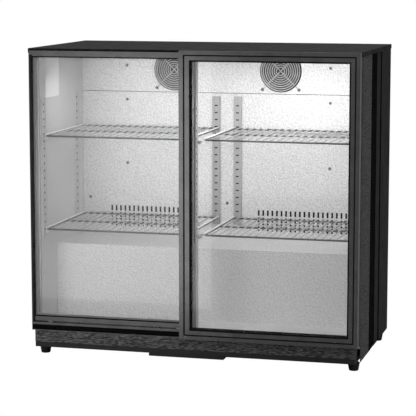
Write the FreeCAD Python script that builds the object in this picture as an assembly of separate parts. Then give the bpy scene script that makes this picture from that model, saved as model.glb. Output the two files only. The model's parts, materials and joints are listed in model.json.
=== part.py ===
"""Under counter fridge with two sliding glass doors.

Millimetres, +Z up, front towards -Y, origin at the centre of the footprint on the floor.
Every separate piece of the fridge is written to parts/NAME.step.
"""
import FreeCAD, Part
import math
import os

V = FreeCAD.Vector

# ---------------------------------------------------------------- driving dimensions
WIDTH = 900.0            # over the top panel
DEPTH = 500.0            # front door face to rear panel
HEIGHT = 835.0           # floor to top panel
BASE_Z = 26.0            # underside of the base tray
PLINTH_Z = (40.0, 72.0)  # kick strip
FRONT = -DEPTH / 2
BACK = DEPTH / 2
HALF = WIDTH / 2

SKIN = 1.2               # outer sheet
LINER = 1.0              # inner sheet
SIDE_X = HALF - 1.5      # outer face of the side panels, inside the top panel's fold
WALL_X = 430.0           # inner face of the side walls
CEILING_Z = 818.0
FLOOR_Z = 88.0
DUCT_Y = 162.0           # front face of the back wall
REAR_LINER_Y = 212.0
STEP_Y = -67.0           # front of the step over the machine compartment
STEP_Z = 288.0
STEP_FOAM = 26.0

HOUSING_Y = (-228.0, -197.0)   # track housing behind the front door
LIP = 2.0                      # wall of the track extrusions
HEADER_Z = 818.0
SILL_DECK_Z = 90.0
JAMB_INNER_X = 443.0

FRONT_DOOR_X = (-28.0, 449.0)
FRONT_DOOR_Z = (73.0, 834.5)
FRONT_DOOR_Y = FRONT
REAR_DOOR_X = (-446.0, 2.0)
REAR_DOOR_Z = (97.0, 826.0)
REAR_DOOR_Y = -222.0

PANE = 4.0
PANE_GAP = 6.0
FRONT_ROLLER_R = 6.0
REAR_ROLLER_R = 7.0
ROLLER_WIDTH = 6.0
AXLE_R = 1.5
RUNNING = 0.05           # radial clearance of axles and stems
TRACK_GAP = 0.3          # roller to track

SHELF_TOPS = (602.0, 348.0)
SHELF_X = (20.0, 424.0)
SHELF_Y = (-180.0, 150.0)
WIRE_R = 1.75
CROSS_R = 2.5
WIRE_COUNT = 21
CROSS_INSET = 4.0        # first cross wire from the shelf's edge

FAN_X = 154.0
FAN_Z = 760.0
GUARD_R = 57.0
FAN_BORE = 54.0
SEAM_Z = 695.0           # joint between fan panel and duct panel

FOOT_X = 428.0
FOOT_Y = (-178.0, 205.0)

# ---------------------------------------------------------------- helpers
os.makedirs("parts", exist_ok=True)


def box(x, y, z):
    """Box from three (low, high) pairs."""
    (x0, x1), (y0, y1), (z0, z1) = sorted(x), sorted(y), sorted(z)
    return Part.makeBox(x1 - x0, y1 - y0, z1 - z0, V(x0, y0, z0))


def rod(start, end, radius):
    """Round bar between two points."""
    a, b = V(*start), V(*end)
    return Part.makeCylinder(radius, (b - a).Length, a, b - a)


def fuse(shapes):
    """One solid out of touching shapes."""
    shapes = list(shapes)
    return shapes[0].multiFuse(shapes[1:]).removeSplitter()


def cut(shape, tools):
    """Shape with every tool taken away at once."""
    return shape.cut(Part.makeCompound(list(tools)))


def mirror_x(shape):
    return shape.mirror(V(0, 0, 0), V(1, 0, 0))


def moved(shape, x=0.0, y=0.0, z=0.0):
    copy = shape.copy()
    copy.translate(V(x, y, z))
    return copy


def polygon(points):
    return Part.makePolygon([V(*p) for p in points] + [V(*points[0])])


def bar_between(outline_a, outline_b):
    """Straight bar between two flat outlines with the same number of corners."""
    faces = [Part.Face(polygon(outline_a)), Part.Face(polygon(outline_b))]
    count = len(outline_a)
    for i in range(count):
        j = (i + 1) % count
        faces.append(Part.Face(polygon([outline_a[i], outline_a[j], outline_b[j], outline_b[i]])))
    shell = Part.Shell(faces)
    shell.sewShape()
    solid = Part.Solid(shell)
    if solid.Volume < 0:
        solid.reverse()
    return solid


def extrude(points, vector):
    return Part.Face(polygon(points)).extrude(V(*vector))


def ring_y(radius_out, radius_in, x, z, y):
    """Flat ring around an axis along Y."""
    y0, y1 = y
    outer = rod((x, y0, z), (x, y1, z), radius_out)
    return outer.cut(rod((x, y0 - 1, z), (x, y1 + 1, z), radius_in))


def save(name, *solids):
    """Write one node; several solids make a group of like pieces."""
    parts = []
    for solid in solids:
        parts += solid.Solids or [Part.makeSolid(solid)]
    shape = parts[0] if len(parts) == 1 else Part.makeCompound(parts)
    for part in parts:
        if not part.isValid() or part.Volume <= 0:
            raise ValueError("bad solid in " + name)
    shape.exportStep("parts/" + name + ".step")
    print("%-26s %3d solid(s) %12.0f mm3" % (name, len(parts), sum(p.Volume for p in parts)))


# ---------------------------------------------------------------- cabinet shell
def top_panel():
    """Top sheet with a front fold and two side folds over the side panels."""
    fold_front = HEIGHT - 3.2
    fold_side = HEIGHT - 12.0
    sheet = box((-HALF, HALF), (HOUSING_Y[0], BACK), (HEIGHT - 2, HEIGHT))
    front = box((-HALF, HALF), (HOUSING_Y[0], HOUSING_Y[0] + LIP), (fold_front, HEIGHT - 2))
    sides = [box((s * SIDE_X, s * HALF), (HOUSING_Y[0], BACK), (fold_side, HEIGHT - 2)) for s in (-1, 1)]
    return fuse([sheet, front] + sides)


SIDE_BEADS = [(-40.0, 14.0), (74.0, 95.0)]
BEAD_DEPTH = 0.7


def side_panel(side):
    """Side sheet, stiffened by two shallow beads from top to bottom."""
    z = (BASE_Z, HEIGHT - 2)
    sheet = box((side * (SIDE_X - SKIN), side * SIDE_X), (HOUSING_Y[1], BACK), z)
    x = (side * (SIDE_X - BEAD_DEPTH), side * (SIDE_X + 1))
    return cut(sheet, [box(x, bead, (z[0] - 1, z[1] + 1)) for bead in SIDE_BEADS])


def rear_panel():
    edge = SIDE_X - SKIN
    return box((-edge, edge), (BACK - REAR_SHEET, BACK), (REAR_SPLIT_Z, HEIGHT - 2))


REAR_SHEET = 1.5
REAR_SPLIT_Z = 262.0     # rear panel above, grille below
CONTROL_X = (300.0, 400.0)
CONTROL_Z = (196.0, 246.0)
GLAND = (-380.0, 80.0)   # X and Z
GLAND_BODY_R = 9.0
GLAND_BORE_R = 4.0
LOUVRE_COLUMNS = range(-4, 5)
LOUVRE_ROWS = 9
LOUVRE_PITCH = (78.0, 12.0)      # X and Z
LOUVRE_HALF = 30.0
LOUVRE_Z0 = 66.0
LOUVRE_OPENING = 5.0


def rear_grille():
    """Louvred cover of the machine compartment, with a window for the controls."""
    edge = SIDE_X - SKIN
    plate = box((-edge, edge), (BACK - REAR_SHEET, BACK), (PLINTH_Z[0], REAR_SPLIT_Z - 0.5))
    slots = []
    for column in LOUVRE_COLUMNS:
        for row in range(LOUVRE_ROWS):
            x = LOUVRE_PITCH[0] * column
            z = LOUVRE_Z0 + LOUVRE_PITCH[1] * row
            slots.append(box((x - LOUVRE_HALF, x + LOUVRE_HALF), (BACK - 3, BACK + 1), (z, z + LOUVRE_OPENING)))
    window = box(CONTROL_X, (BACK - 3, BACK + 1), CONTROL_Z)
    hole = rod((GLAND[0], BACK - 4, GLAND[1]), (GLAND[0], BACK + 1, GLAND[1]), GLAND_BODY_R)
    return cut(plate, slots + [window, hole])


STEM_R = 5.0             # levelling foot stem
PAD_R = (12.5, 16.0)     # at the floor and at the top of the pad
PAD_HEIGHT = 22.0
COLLAR_R = 9.0
COLLAR_TOP = 25.0
STEM_TOP = 39.8
BASE_EDGE = 440.0        # half width of the base tray and the plinth
BASE_FRONT = -226.0
BASE_PLATE_Z = (37.0, PLINTH_Z[0])
SKIRT = 3.0              # thickness of the tray's skirt
NUT_R = 9.0
NUT_Z = (28.0, 38.0)


def base_tray():
    """Plate with a skirt all round; the feet screw into its four weld nuts."""
    x = (-BASE_EDGE, BASE_EDGE)
    skirt_z = (BASE_Z, BASE_PLATE_Z[0])
    plate = box(x, (BASE_FRONT, BACK), BASE_PLATE_Z)
    front_skirt = box(x, (BASE_FRONT, BASE_FRONT + SKIRT), skirt_z)
    back_skirt = box(x, (BACK - SKIRT, BACK), skirt_z)
    sides = [box((s * BASE_EDGE, s * (BASE_EDGE - SKIRT)), (BASE_FRONT, BACK), skirt_z) for s in (-1, 1)]
    places = [(x, y) for x in (-FOOT_X, FOOT_X) for y in FOOT_Y]
    weld_nuts = [rod((x, y, NUT_Z[0]), (x, y, NUT_Z[1]), NUT_R) for x, y in places]
    holes = [rod((x, y, NUT_Z[0] - 1), (x, y, PLINTH_Z[0] + 1), STEM_R + RUNNING) for x, y in places]
    return cut(fuse([plate, front_skirt, back_skirt] + sides + weld_nuts), holes)


PLINTH_SHEET = 1.5
PLINTH_FLANGE = 15.0


def plinth():
    """Folded kick strip: front, top flange and end returns."""
    front = HOUSING_Y[0]
    low, high = PLINTH_Z
    x = (-BASE_EDGE, BASE_EDGE)
    face = box(x, (front, front + PLINTH_SHEET), (low, high))
    top = box(x, (front, front + PLINTH_FLANGE), (high - PLINTH_SHEET, high))
    ends = [box((s * BASE_EDGE, s * (BASE_EDGE - PLINTH_SHEET)), HOUSING_Y, (low, high)) for s in (-1, 1)]
    return fuse([face, top] + ends)


TRAY_X = (-120.0, 86.0)
TRAY_Y = (-222.0, -60.0)
TRAY_Z = (17.0, BASE_PLATE_Z[0])
TRAY_WALL = 2.0


def condensate_tray():
    """Shallow tray held under the base tray."""
    inner_x = (TRAY_X[0] + TRAY_WALL, TRAY_X[1] - TRAY_WALL)
    inner_y = (TRAY_Y[0] + TRAY_WALL, TRAY_Y[1] - TRAY_WALL)
    return box(TRAY_X, TRAY_Y, TRAY_Z).cut(box(inner_x, inner_y, (TRAY_Z[0] + TRAY_WALL, TRAY_Z[1] + 1)))


def foot():
    """Levelling foot: tapered pad with a threaded stem."""
    pad = Part.makeCone(PAD_R[0], PAD_R[1], PAD_HEIGHT, V(0, 0, 0), V(0, 0, 1))
    collar = rod((0, 0, PAD_HEIGHT), (0, 0, COLLAR_TOP), COLLAR_R)
    stem = rod((0, 0, COLLAR_TOP), (0, 0, STEM_TOP), STEM_R)
    return fuse([pad, collar, stem])


# ---------------------------------------------------------------- insulation and liner
def insulation():
    """Foam blocks between the outer sheets and the liner."""
    gap = 0.1
    outer = SIDE_X - SKIN - gap
    inner = WALL_X + LINER + gap
    y0, y1 = HOUSING_Y[1] + gap, BACK - REAR_SHEET - gap
    top = box((-outer, outer), (y0, y1), (CEILING_Z + LINER + gap, HEIGHT - 2 - gap))
    side = box((inner, outer), (y0, y1), (PLINTH_Z[0] + 22, CEILING_Z + LINER))
    floor = box((-WALL_X, WALL_X), (y0, STEP_Y + STEP_FOAM), (PLINTH_Z[0] + gap, FLOOR_Z - LINER - gap))
    back = box((-WALL_X, WALL_X), (REAR_LINER_Y + LINER + gap, y1), (STEP_Z, CEILING_Z - gap))
    step_y = (STEP_Y + LINER + gap, STEP_Y + STEP_FOAM)
    step_front = box((-WALL_X, WALL_X), step_y, (FLOOR_Z, STEP_Z - STEP_FOAM))
    step_top = box((-WALL_X, WALL_X), (STEP_Y + LINER + gap, y1), (STEP_Z - STEP_FOAM, STEP_Z - LINER - gap))
    return [top, side, mirror_x(side), floor, back, step_front, step_top]


def liner_wall(side):
    z = (FLOOR_Z - LINER, CEILING_Z + LINER)
    return box((side * WALL_X, side * (WALL_X + LINER)), (HOUSING_Y[1], REAR_LINER_Y + LINER), z)


def liner_sheets():
    """Ceiling, floor, step front, step top and back, each a flat sheet."""
    x = (-WALL_X, WALL_X)
    y0 = HOUSING_Y[1]
    return {
        "liner_ceiling": box(x, (y0, REAR_LINER_Y), (CEILING_Z, CEILING_Z + LINER)),
        "liner_floor": box(x, (y0, STEP_Y), (FLOOR_Z - LINER, FLOOR_Z)),
        "step_front": box(x, (STEP_Y, STEP_Y + LINER), (FLOOR_Z, STEP_Z - LINER)),
        "step_top": box(x, (STEP_Y, REAR_LINER_Y), (STEP_Z - LINER, STEP_Z)),
        "liner_back": box(x, (REAR_LINER_Y, REAR_LINER_Y + LINER), (STEP_Z, CEILING_Z)),
    }


# ---------------------------------------------------------------- back wall and shelf standards
PANEL_EDGE = WALL_X - 0.5
VENT_X0 = 92.0
VENT_PITCH = 13.2
VENT_COLUMNS = 20
VENT_ROWS = 5
VENT_HALF = 2.7          # half width of an upright slot
VENT_SLOT_Z = (350.0, 366.0)
VENT_HOLE_Z = 342.5      # highest row of round holes
VENT_ROW_PITCH = 8.4
VENT_HOLE_R = 3.0


def fan_panel():
    plate = box((-PANEL_EDGE, PANEL_EDGE), (DUCT_Y, DUCT_Y + SKIN), (SEAM_Z + 1.5, CEILING_Z - 0.5))
    y = (DUCT_Y - 1, DUCT_Y + 3)
    return cut(plate, [rod((s * FAN_X, y[0], FAN_Z), (s * FAN_X, y[1], FAN_Z), FAN_BORE) for s in (-1, 1)])


def duct_panel():
    """Back wall with a row of slots and rows of round holes on each side."""
    plate = box((-PANEL_EDGE, PANEL_EDGE), (DUCT_Y, DUCT_Y + SKIN), (STEP_Z + 2, SEAM_Z))
    y0, y1 = DUCT_Y - 1, DUCT_Y + 3
    tools = []
    for side in (-1, 1):
        for column in range(VENT_COLUMNS):
            x = side * (VENT_X0 + VENT_PITCH * column)
            tools.append(box((x - VENT_HALF, x + VENT_HALF), (y0, y1), VENT_SLOT_Z))
            for row in range(VENT_ROWS):
                z = VENT_HOLE_Z - VENT_ROW_PITCH * row
                tools.append(rod((x, y0, z), (x, y1, z), VENT_HOLE_R))
    return cut(plate, tools)


EAR = 52.0               # guard ear to fan centre, along X and along Z
PANEL_SCREWS = [(295, 770), (295, 673), (295, 490), (408, 388)]


SCREW_HEAD_R = (3.2, 4.4)        # at the crown and at the seat
SCREW_HEAD = 1.8


def screw(x, z, y_face):
    """Pan head, seated on a face that looks towards -Y."""
    return Part.makeCone(SCREW_HEAD_R[0], SCREW_HEAD_R[1], SCREW_HEAD, V(x, y_face - SCREW_HEAD, z), V(0, 1, 0))


def panel_screws():
    screws = [screw(s * x, z, DUCT_Y) for x, z in PANEL_SCREWS for s in (-1, 1)]
    screws.append(screw(0, 383, DUCT_Y))
    return screws


STANDARD_Z = (322.0, 697.0)
SLOT_PITCH = 20.0
SLOT_COUNT = 18
SLOT_TOP = STANDARD_Z[1] - 16    # middle of the highest slot
SLOT_HALF = (3.5, 2.4)   # half depth (along Y) and half height of a wall or post slot
REAR_SLOT_HALF = (4.2, 1.8)      # half width and half height of a rear slot


def slots_along_z(x, y, half_height):
    """Slot cutters on the standards' pitch, from the top down."""
    heights = [SLOT_TOP - SLOT_PITCH * number for number in range(SLOT_COUNT)]
    return [box(x, y, (z - half_height, z + half_height)) for z in heights]


STANDARD_THICK = 3.0
STANDARD_HALF = 16.0     # half width
GROOVE_HALF = 7.0
REAR_STANDARD_THICK = 8.0
REAR_STANDARD_HALF = 10.5
REAR_STANDARD_TOP = 687.0
REAR_GROOVE_HALF = 5.0


def wall_standard(side, y_centre):
    """Flat standard on a side wall, with a groove down its face."""
    face_x = WALL_X - STANDARD_THICK
    strip_y = (y_centre - STANDARD_HALF, y_centre + STANDARD_HALF)
    strip = box((side * WALL_X, side * face_x), strip_y, STANDARD_Z)
    groove_y = (y_centre - GROOVE_HALF, y_centre + GROOVE_HALF)
    groove = box((side * face_x, side * (face_x + 1)), groove_y, STANDARD_Z)
    x_cut = (side * (WALL_X + 1), side * (face_x - 1))
    slots = slots_along_z(x_cut, (y_centre - SLOT_HALF[0], y_centre + SLOT_HALF[0]), SLOT_HALF[1])
    return cut(strip, [groove] + slots)


def rear_standard(x_centre):
    """Slim standard on the back wall; its slots lie across it."""
    face_y = DUCT_Y - REAR_STANDARD_THICK
    x = (x_centre - REAR_STANDARD_HALF, x_centre + REAR_STANDARD_HALF)
    strip = box(x, (face_y, DUCT_Y), (STANDARD_Z[0], REAR_STANDARD_TOP))
    groove_x = (x_centre - REAR_GROOVE_HALF, x_centre + REAR_GROOVE_HALF)
    groove = box(groove_x, (face_y - 1, face_y + 1.5), STANDARD_Z)
    slot_x = (x_centre - REAR_SLOT_HALF[0], x_centre + REAR_SLOT_HALF[0])
    slots = slots_along_z(slot_x, (face_y - 1, face_y + 5), REAR_SLOT_HALF[1])
    return cut(strip, [groove] + slots[1:])


FRONT_STANDARD_Y = -169.0
REAR_STANDARD_Y = 104.0
REAR_STANDARD_X = 31.0
POST_SLOT_Y = -189.0
POST_HALF = 4.5
POST_Y = (-196.0, -172.0)


def shelf_standards():
    walls = [wall_standard(s, y) for s in (-1, 1) for y in (FRONT_STANDARD_Y, REAR_STANDARD_Y)]
    return walls + [rear_standard(s * REAR_STANDARD_X) for s in (-1, 1)]


def centre_post():
    """Full-height post behind the doors, slotted on its two sides, with a groove down its front."""
    post = box((-POST_HALF, POST_HALF), POST_Y, (FLOOR_Z, CEILING_Z))
    tools = [box((-1.5, 1.5), (POST_Y[0] - 1, POST_Y[0] + 3), STANDARD_Z)]
    for s in (-1, 1):
        x = (s * (POST_HALF - 2), s * (POST_HALF + 1))
        tools += slots_along_z(x, (POST_SLOT_Y - SLOT_HALF[0], POST_SLOT_Y + SLOT_HALF[0]), SLOT_HALF[1])
    return cut(post, tools)


CLIP_HEIGHT = 7.0
CLIP_HALF = 5.0          # half width
CLIP_REACH = 13.0        # from the face of a wall standard
REAR_CLIP_X = (24.0, 34.0)
WELD = 0.2               # how far crossing wires sink into each other


def shelf_clips():
    """One hook under each corner of each shelf."""
    clips = []
    standard_x = WALL_X - STANDARD_THICK
    standard_y = DUCT_Y - REAR_STANDARD_THICK
    for top in SHELF_TOPS:
        seat = top - 2 * CROSS_R - 2 * WIRE_R + WELD
        z = (seat - CLIP_HEIGHT, seat)
        for s in (-1, 1):
            wall_x = (s * standard_x, s * (standard_x - CLIP_REACH))
            for y in (FRONT_STANDARD_Y, REAR_STANDARD_Y):
                clips.append(box(wall_x, (y - CLIP_HALF, y + CLIP_HALF), z))
            clips.append(box((s * POST_HALF, s * 2 * CLIP_REACH), (POST_Y[1] - 6, POST_Y[1] + 2), z))
            rear_x = (s * REAR_CLIP_X[0], s * REAR_CLIP_X[1])
            clips.append(box(rear_x, (standard_y - 18, standard_y), z))
    return clips


def shelf():
    """Wire shelf on the right side, its top face at height zero."""
    x0, x1 = SHELF_X
    y0, y1 = SHELF_Y
    z_wire = -WIRE_R
    z_cross = -2 * WIRE_R - CROSS_R + WELD
    pitch = (x1 - x0 - 2 * CROSS_R) / (WIRE_COUNT - 1)
    bars = []
    for number in range(WIRE_COUNT):
        x = x0 + CROSS_R + pitch * number
        bars.append(rod((x, y0, z_wire), (x, y1, z_wire), WIRE_R))
    for y in (y0 + CROSS_INSET, (y0 + y1) / 2, y1 - CROSS_INSET):
        bars.append(rod((x0, y, z_cross), (x1, y, z_cross), CROSS_R))
    return fuse(bars)


LABEL_Y = (-148.0, -40.0)
LABEL_Z = (697.0, 805.0)
LABEL_FILM = 0.4


def label():
    """Blank film label on the left wall."""
    return box((-WALL_X, -WALL_X + LABEL_FILM), LABEL_Y, LABEL_Z)


# ---------------------------------------------------------------- fans and refrigeration
RING_COUNT = 8
RING_PITCH = 6.6
RING_WIDTH = 1.8
RING_Y = (DUCT_Y - 7.0, DUCT_Y - 5.0)
SPOKE_HALF = 1.2
EAR_R = 4.0


def fan_guard():
    """Concentric rings on four spokes; the ears carry the screws."""
    y = RING_Y
    pieces = []
    for number in range(RING_COUNT):
        radius = GUARD_R - RING_PITCH * number
        pieces.append(ring_y(radius, radius - RING_WIDTH, 0, 0, y))
    reach = EAR * math.sqrt(2) + EAR_R
    spoke = box((-reach, reach), (y[1] - 0.3, y[1] + 1.5), (-SPOKE_HALF, SPOKE_HALF))
    for angle in (45, 135):
        bar = spoke.copy()
        bar.rotate(V(0, 0, 0), V(0, 1, 0), angle)
        pieces.append(bar)
    for sx in (-1, 1):
        for sz in (-1, 1):
            pieces.append(rod((sx * EAR, y[1] - 0.3, sz * EAR), (sx * EAR, DUCT_Y, sz * EAR), EAR_R))
    return fuse(pieces)


FAN_Y = (DUCT_Y + SKIN, DUCT_Y + SKIN + 38.0)
FAN_SHAFT_R = 2.5
FAN_FRAME = 57.0         # half of the square frame
FAN_MOTOR_R = 20.0
FAN_MOTOR = 12.0
STRUT_REACH = 64.0


def fan_housing():
    """Square axial fan frame with its motor on four struts at the back."""
    y0, y1 = FAN_Y
    square = (-FAN_FRAME, FAN_FRAME)
    frame = box(square, FAN_Y, square).cut(rod((0, y0 - 1, 0), (0, y1 + 1, 0), FAN_BORE))
    front = y1 - FAN_MOTOR
    shaft_hole = rod((0, front - 1, 0), (0, y1 - 3, 0), FAN_SHAFT_R + RUNNING)
    motor = rod((0, front, 0), (0, y1, 0), FAN_MOTOR_R).cut(shaft_hole)
    struts = []
    for angle in (45, 135):
        strut = box((-STRUT_REACH, STRUT_REACH), (y1 - 5, y1), (-3, 3))
        strut.rotate(V(0, 0, 0), V(0, 1, 0), angle)
        struts.append(strut)
    return fuse([frame, motor] + struts)


BLADE_HALF = 0.8         # half thickness
BLADE_PITCH = 62.0       # degrees


def blade_wheel(hub_r, tip_r, y, blades, shaft_r, shaft_end):
    """Hub with flat pitched blades and its shaft, turning about the Y axis."""
    y0, y1 = y
    hub = rod((0, y0, 0), (0, y1, 0), hub_r)
    mid = (y0 + y1) / 2
    pieces = [hub, rod((0, mid, 0), (0, shaft_end, 0), shaft_r)]
    half_chord = 0.25 * tip_r
    for number in range(blades):
        blade = box((hub_r - 3, 0.98 * tip_r), (mid - BLADE_HALF, mid + BLADE_HALF), (-half_chord, half_chord))
        blade.rotate(V(0, mid, 0), V(1, 0, 0), BLADE_PITCH)
        blade.rotate(V(0, 0, 0), V(0, 1, 0), number * 360.0 / blades)
        pieces.append(blade)
    return fuse(pieces)


COIL_HALF = 350.0
COIL_Y = (172.0, 204.0)
COIL_Z = (430.0, 640.0)
COIL_ROWS = 5
COIL_PITCH = 42.0
COIL_TUBE_R = 5.0


def evaporator():
    """Fin block with its tube ends."""
    core = box((-COIL_HALF, COIL_HALF), COIL_Y, COIL_Z)
    middle = (COIL_Y[0] + COIL_Y[1]) / 2
    ends = []
    for side in (-1, 1):
        bend_x = side * (COIL_HALF + 11)
        end_x = side * (COIL_HALF + 16)
        for row in range(COIL_ROWS):
            z = COIL_Z[0] + 20 + COIL_PITCH * row
            ends.append(rod((side * (COIL_HALF - 1), middle, z), (end_x, middle, z), COIL_TUBE_R))
            ends.append(rod((bend_x, middle, z), (bend_x, middle, z + COIL_PITCH / 2), COIL_TUBE_R))
    return fuse([core] + ends)


COMPRESSOR_X = -210.0
COMPRESSOR_Y = 110.0
POT_R = 66.0
POT_Z = (57.0, 162.0)
POT_PLATE = (95.0, 65.0)         # half length and half width
POT_BOLTS = (80.0, 52.0)         # from the middle of the plate
BUSH_R = 5.0


DISCHARGE_Z = 150.0


def compressor_bolts():
    """Places of the four rubber bushes."""
    across, along = POT_BOLTS
    return [(COMPRESSOR_X + sx * across, COMPRESSOR_Y + sy * along) for sx in (-1, 1) for sy in (-1, 1)]


def compressor():
    """Hermetic pot with a domed top on a mounting plate."""
    x, y = COMPRESSOR_X, COMPRESSOR_Y
    low, high = POT_Z
    plate = box((x - POT_PLATE[0], x + POT_PLATE[0]), (y - POT_PLATE[1], y + POT_PLATE[1]), (low - 3, low))
    body = Part.makeCylinder(POT_R, high - low, V(x, y, low))
    dome = Part.makeSphere(POT_R, V(0, 0, 0)).common(Part.makeCylinder(POT_R + 4, POT_R + 4))
    squash = FreeCAD.Matrix()
    squash.scale(V(1, 1, 0.5))
    dome = moved(dome.transformGeometry(squash), x, y, high)
    stub = rod((x + POT_R - 6, y, DISCHARGE_Z), (x + POT_R + 18, y, DISCHARGE_Z), 5)
    box_cover = box((x - POT_R - 20, x - POT_R + 6), (y - 25, y + 25), (95, 145))
    holes = [rod((bx, by, low - 7), (bx, by, low + 3), BUSH_R + 0.2) for bx, by in compressor_bolts()]
    return cut(fuse([plate, body, dome, stub, box_cover]), holes)


def compressor_mounts():
    """Rubber bushes under the compressor plate."""
    mounts = []
    for x, y in compressor_bolts():
        foot_pad = rod((x, y, PLINTH_Z[0]), (x, y, POT_Z[0] - 3), 2 * BUSH_R + 1)
        mounts.append(fuse([foot_pad, rod((x, y, POT_Z[0] - 4), (x, y, POT_Z[0] + 5), BUSH_R)]))
    return mounts


CONDENSER_FAN = (200.0, 150.0)   # X and Z of the condenser fan's shaft
CONDENSER_SHAFT_R = 3.0
CONDENSER_X = (90.0, 310.0)
CONDENSER_Y = (190.0, 232.0)
CONDENSER_Z = (62.0, 238.0)
CONDENSER_TUBE_R = 4.0
CONDENSER_ROWS = 4


def condenser():
    """Fin block with its tube bends, on two feet."""
    core = box(CONDENSER_X, CONDENSER_Y, CONDENSER_Z)
    middle = (CONDENSER_Y[0] + CONDENSER_Y[1]) / 2
    tubes = []
    for side_x, out in zip(CONDENSER_X, (-8, 8)):
        for row in range(CONDENSER_ROWS):
            z = CONDENSER_Z[0] + 18 + 44 * row
            tubes.append(rod((side_x - out / 4, middle, z), (side_x + out, middle, z), CONDENSER_TUBE_R))
    foot_y = (CONDENSER_Y[0] + 6, CONDENSER_Y[1] - 6)
    feet = [box((x, x + 20), foot_y, (PLINTH_Z[0], CONDENSER_Z[0] + 1)) for x in (100, 280)]
    return fuse([core] + tubes + feet)


CONDENSER_MOTOR_Y = (100.0, 140.0)
CONDENSER_MOTOR_R = 28.0


def condenser_fan_motor():
    """Motor on a bracket that stands on the base tray."""
    x, z = CONDENSER_FAN
    y0, y1 = CONDENSER_MOTOR_Y
    low = PLINTH_Z[0]
    motor = rod((x, y0, z), (x, y1, z), CONDENSER_MOTOR_R)
    shaft_hole = rod((x, y1 - 19, z), (x, y1 + 1, z), CONDENSER_SHAFT_R + RUNNING)
    leg = box((x - 14, x + 14), (y0 + 4, y0 + 10), (low, z - 20))
    foot_plate = box((x - 30, x + 30), (y0 - 10, y0 + 25), (low, low + 3))
    return cut(fuse([motor, leg, foot_plate]), [shaft_hole])


def tube_path(points, radius, bend):
    """Round tube along straight runs joined by tangent arcs."""
    pts = [V(*p) for p in points]
    edges = []
    start = pts[0]
    for number in range(1, len(pts) - 1):
        before = (pts[number - 1] - pts[number]).normalize()
        after = (pts[number + 1] - pts[number]).normalize()
        half_turn = before.getAngle(after) / 2
        set_back = bend / math.tan(half_turn)
        a = pts[number] + before * set_back
        b = pts[number] + after * set_back
        middle = (before + after).normalize()
        centre = pts[number] + middle * (bend / math.sin(half_turn))
        edges.append(Part.LineSegment(start, a).toShape())
        edges.append(Part.Arc(a, centre - middle * bend, b).toShape())
        start = b
    edges.append(Part.LineSegment(start, pts[-1]).toShape())
    wire = Part.Wire(edges)
    direction = pts[1] - pts[0]
    circle = Part.Wire([Part.Circle(pts[0], direction, radius).toShape()])
    return wire.makePipeShell([circle], True, False)


def refrigerant_pipes():
    """Discharge pipe to the condenser and suction pipe up to the evaporator."""
    discharge = [(COMPRESSOR_X + 84.5, COMPRESSOR_Y, 150), (-60, COMPRESSOR_Y, 150), (-60, 211, 150),
                 (-60, 211, 212), (81.5, 211, 212)]
    suction = [(COMPRESSOR_X, COMPRESSOR_Y + 66.5, 100), (COMPRESSOR_X, 225, 100), (COMPRESSOR_X, 225, 200),
               (-330, 225, 200), (-330, 225, 261.5)]
    return [tube_path(discharge, 3.2, 18), tube_path(suction, 4.0, 20)]


CONTROL_PLATE_Y = (236.0, 238.0)
KNOB_X = 330.0
SWITCH_X = 376.0
SWITCH_Y = 232.0         # pivot of the rocker
CONTROL_MID_Z = (CONTROL_Z[0] + CONTROL_Z[1]) / 2


def control_plate():
    """Recessed plate behind the window, on two legs to the grille."""
    plate = box((CONTROL_X[0] - 12, CONTROL_X[1] + 12), CONTROL_PLATE_Y, (CONTROL_Z[0] - 8, CONTROL_Z[1] + 8))
    legs = [box((x, x + 6), (238, BACK - 1.5), (CONTROL_Z[0] - 8, CONTROL_Z[1] + 8))
            for x in (CONTROL_X[0] - 12, CONTROL_X[1] + 6)]
    y0, y1 = CONTROL_PLATE_Y[0] - 1, CONTROL_PLATE_Y[1] + 1
    shaft_hole = rod((KNOB_X, y0, CONTROL_MID_Z), (KNOB_X, y1, CONTROL_MID_Z), 3 + RUNNING)
    housing = box((SWITCH_X - 11, SWITCH_X + 11), (226, 236.5), (CONTROL_MID_Z - 16.5, CONTROL_MID_Z + 16.5))
    cavity = box((SWITCH_X - 8.5, SWITCH_X + 8.5), (227.5, y1), (CONTROL_MID_Z - 14, CONTROL_MID_Z + 14))
    pivot = rod((SWITCH_X - 12, SWITCH_Y, CONTROL_MID_Z), (SWITCH_X + 12, SWITCH_Y, CONTROL_MID_Z),
                AXLE_R + RUNNING)
    return cut(fuse([plate, housing] + legs), [shaft_hole, cavity, pivot])


def thermostat_knob():
    y0 = CONTROL_PLATE_Y[1] + 0.4
    knob = rod((KNOB_X, y0, CONTROL_MID_Z), (KNOB_X, y0 + 10, CONTROL_MID_Z), 15)
    grip = box((KNOB_X - 2, KNOB_X + 2), (y0 + 9.5, y0 + 11), (CONTROL_MID_Z, CONTROL_MID_Z + 14))
    shaft = rod((KNOB_X, CONTROL_PLATE_Y[0] - 8, CONTROL_MID_Z), (KNOB_X, y0 + 1, CONTROL_MID_Z), 3)
    return fuse([knob, grip, shaft])


def power_switch():
    """Rocker with its pivot pins, drawn in its "off" position."""
    z = CONTROL_MID_Z
    x = SWITCH_X - 7.5
    profile = [(SWITCH_Y - 2, -8), (239.5, -11), (238.6, 0), (241.8, 11), (SWITCH_Y, 10), (SWITCH_Y - 2, 0)]
    outline = [(x, y, z + height) for y, height in profile]
    pins = rod((SWITCH_X - 10.5, SWITCH_Y, z), (SWITCH_X + 10.5, SWITCH_Y, z), AXLE_R)
    return fuse([extrude(outline, (15, 0, 0)), pins])


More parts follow.
